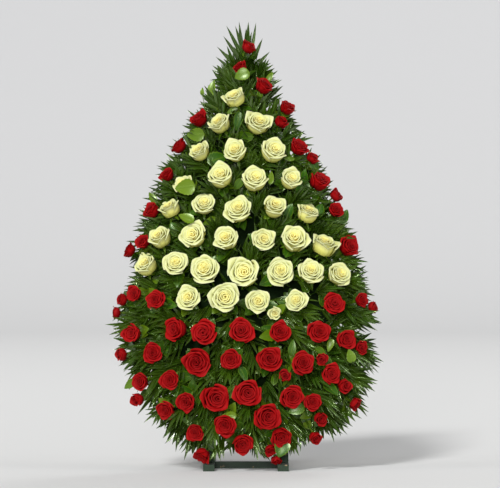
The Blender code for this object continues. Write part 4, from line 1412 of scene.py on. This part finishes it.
# %% Floor and world
FLOOR_FLAT, FLOOR_RADIUS, WALL_HIGH = 14.0, 26.0, 16.0
FLOOR_RINGS = 16
FLOOR_PALE, WALL_GREY = (0.72, 0.72, 0.71), (0.40, 0.40, 0.405)
GREY_FROM = 2.0
SKY, SKY_STRENGTH = (0.97, 0.98, 1.0, 1.0), 0.36


def round_studio():
    """A flat round floor whose edge curves up into a wall, so that no line shows behind the wreath."""
    bpy.ops.object.select_all(action="DESELECT")
    bpy.ops.mesh.primitive_circle_add(vertices=96, radius=FLOOR_FLAT, fill_type="NGON", location=(0, 0, 0))
    bpy.ops.object.mode_set(mode="EDIT")
    bpy.ops.mesh.select_mode(type="EDGE")
    bpy.ops.mesh.select_all(action="SELECT")
    bpy.ops.mesh.region_to_loop()
    radius, high = FLOOR_FLAT, 0.0
    for ring in range(1, FLOOR_RINGS + 1):
        turn = math.pi / 2 * ring / FLOOR_RINGS
        wider = FLOOR_FLAT + (FLOOR_RADIUS - FLOOR_FLAT) * math.sin(turn)
        higher = WALL_HIGH * (1 - math.cos(turn))
        bpy.ops.mesh.extrude_region_move(TRANSFORM_OT_translate={"value": (0, 0, higher - high)})
        bpy.ops.transform.resize(value=(wider / radius, wider / radius, 1), center_override=(0, 0, 0))
        radius, high = wider, higher
    bpy.ops.mesh.select_all(action="SELECT")
    bpy.ops.mesh.normals_make_consistent(inside=True)
    bpy.ops.object.mode_set(mode="OBJECT")
    bpy.ops.object.shade_smooth()
    return bpy.context.object


floor = round_studio()
floor.name = "studio_floor"
floor.visible_shadow = False
floor_finish = Finish("pale_floor", 0.9, Specular_IOR_Level=0.1)
place = floor_finish.node("TexCoord", output=3)
spread = floor_finish.node("VectorMath", {"operation": "LENGTH"}, {0: place}, output=1)
floor_finish.colour(floor_finish.mix(spread.step(GREY_FROM, FLOOR_RADIUS), FLOOR_PALE, WALL_GREY))
floor.data.materials.append(floor_finish.material)
floor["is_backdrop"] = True
world = bpy.data.worlds.new("studio")
bpy.context.scene.world = world
world.use_nodes = True
sky = world.node_tree.nodes["Background"].inputs
sky["Color"].default_value = SKY
sky["Strength"].default_value = SKY_STRENGTH
bpy.context.scene.view_settings.view_transform = "Standard"
print("the floor is flat for", FLOOR_FLAT, "m and ends", FLOOR_RADIUS, "m out")

# %% [markdown]
# ## Lights
# Light from the camera alone would leave the sides and the back black, and lamps close by would light the
# wreath's middle more than its rim. So all the lights are like large lamps far away: a key from above, one
# from the camera, one from each side for the glints on the leaves, and one behind.


# %% Lights
def far_light(name, direction, softness, power):
    """A light that shines along a direction, as wide in the sky as its softness in degrees."""
    data = bpy.data.lights.new(name, "SUN")
    data.angle = math.radians(softness)
    data.energy = power
    light = bpy.data.objects.new(name, data)
    bpy.context.scene.collection.objects.link(light)
    light.rotation_euler = Vector(direction).to_track_quat("-Z", "Y").to_euler()
    print("light:", name, power)


far_light("key", (0.35, 1.0, -0.72), 10, 2.35)
far_light("front", (0.05, 1.0, -0.15), 14, 1.4)
far_light("left", (1.0, 0.35, -0.25), 12, 0.55)
far_light("right", (-1.0, 0.35, -0.25), 12, 0.55)
far_light("behind", (-0.5, -1.0, -0.8), 20, 0.5)

# %% [markdown]
# ## Camera
# The photograph looks straight at the wreath, level with its middle, and shows no slant in it. A camera
# close by would widen the roses in the middle, so it stands well back, with a long lens for its frame.

# %% Camera
VIEW_WIDE, DISTANCE = 1.35, 9.0
CAMERA_ACROSS, CAMERA_UP = 0.0108, 0.610
WREATH_MIDDLE = -0.08  # where the view is that wide, in depth
SENSOR, FAR_END = 36.0, 200
camera_data = bpy.data.cameras.new("camera")
camera_data.sensor_width = SENSOR
camera_data.lens = SENSOR * DISTANCE / VIEW_WIDE
camera_data.clip_end = FAR_END
camera = bpy.data.objects.new("camera", camera_data)
camera.location = (CAMERA_ACROSS, WREATH_MIDDLE - DISTANCE, CAMERA_UP)
camera.rotation_euler = (math.pi / 2, 0, 0)
bpy.context.scene.collection.objects.link(camera)
bpy.context.scene.camera = camera
print("lens:", round(camera_data.lens), "mm")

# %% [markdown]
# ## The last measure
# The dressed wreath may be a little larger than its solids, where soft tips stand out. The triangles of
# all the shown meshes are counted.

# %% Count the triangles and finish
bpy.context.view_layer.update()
meshes = [piece.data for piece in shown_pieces() if piece.type == "MESH"]
print("triangles:", sum(len(mesh.loops) - 2 * len(mesh.polygons) for mesh in meshes))
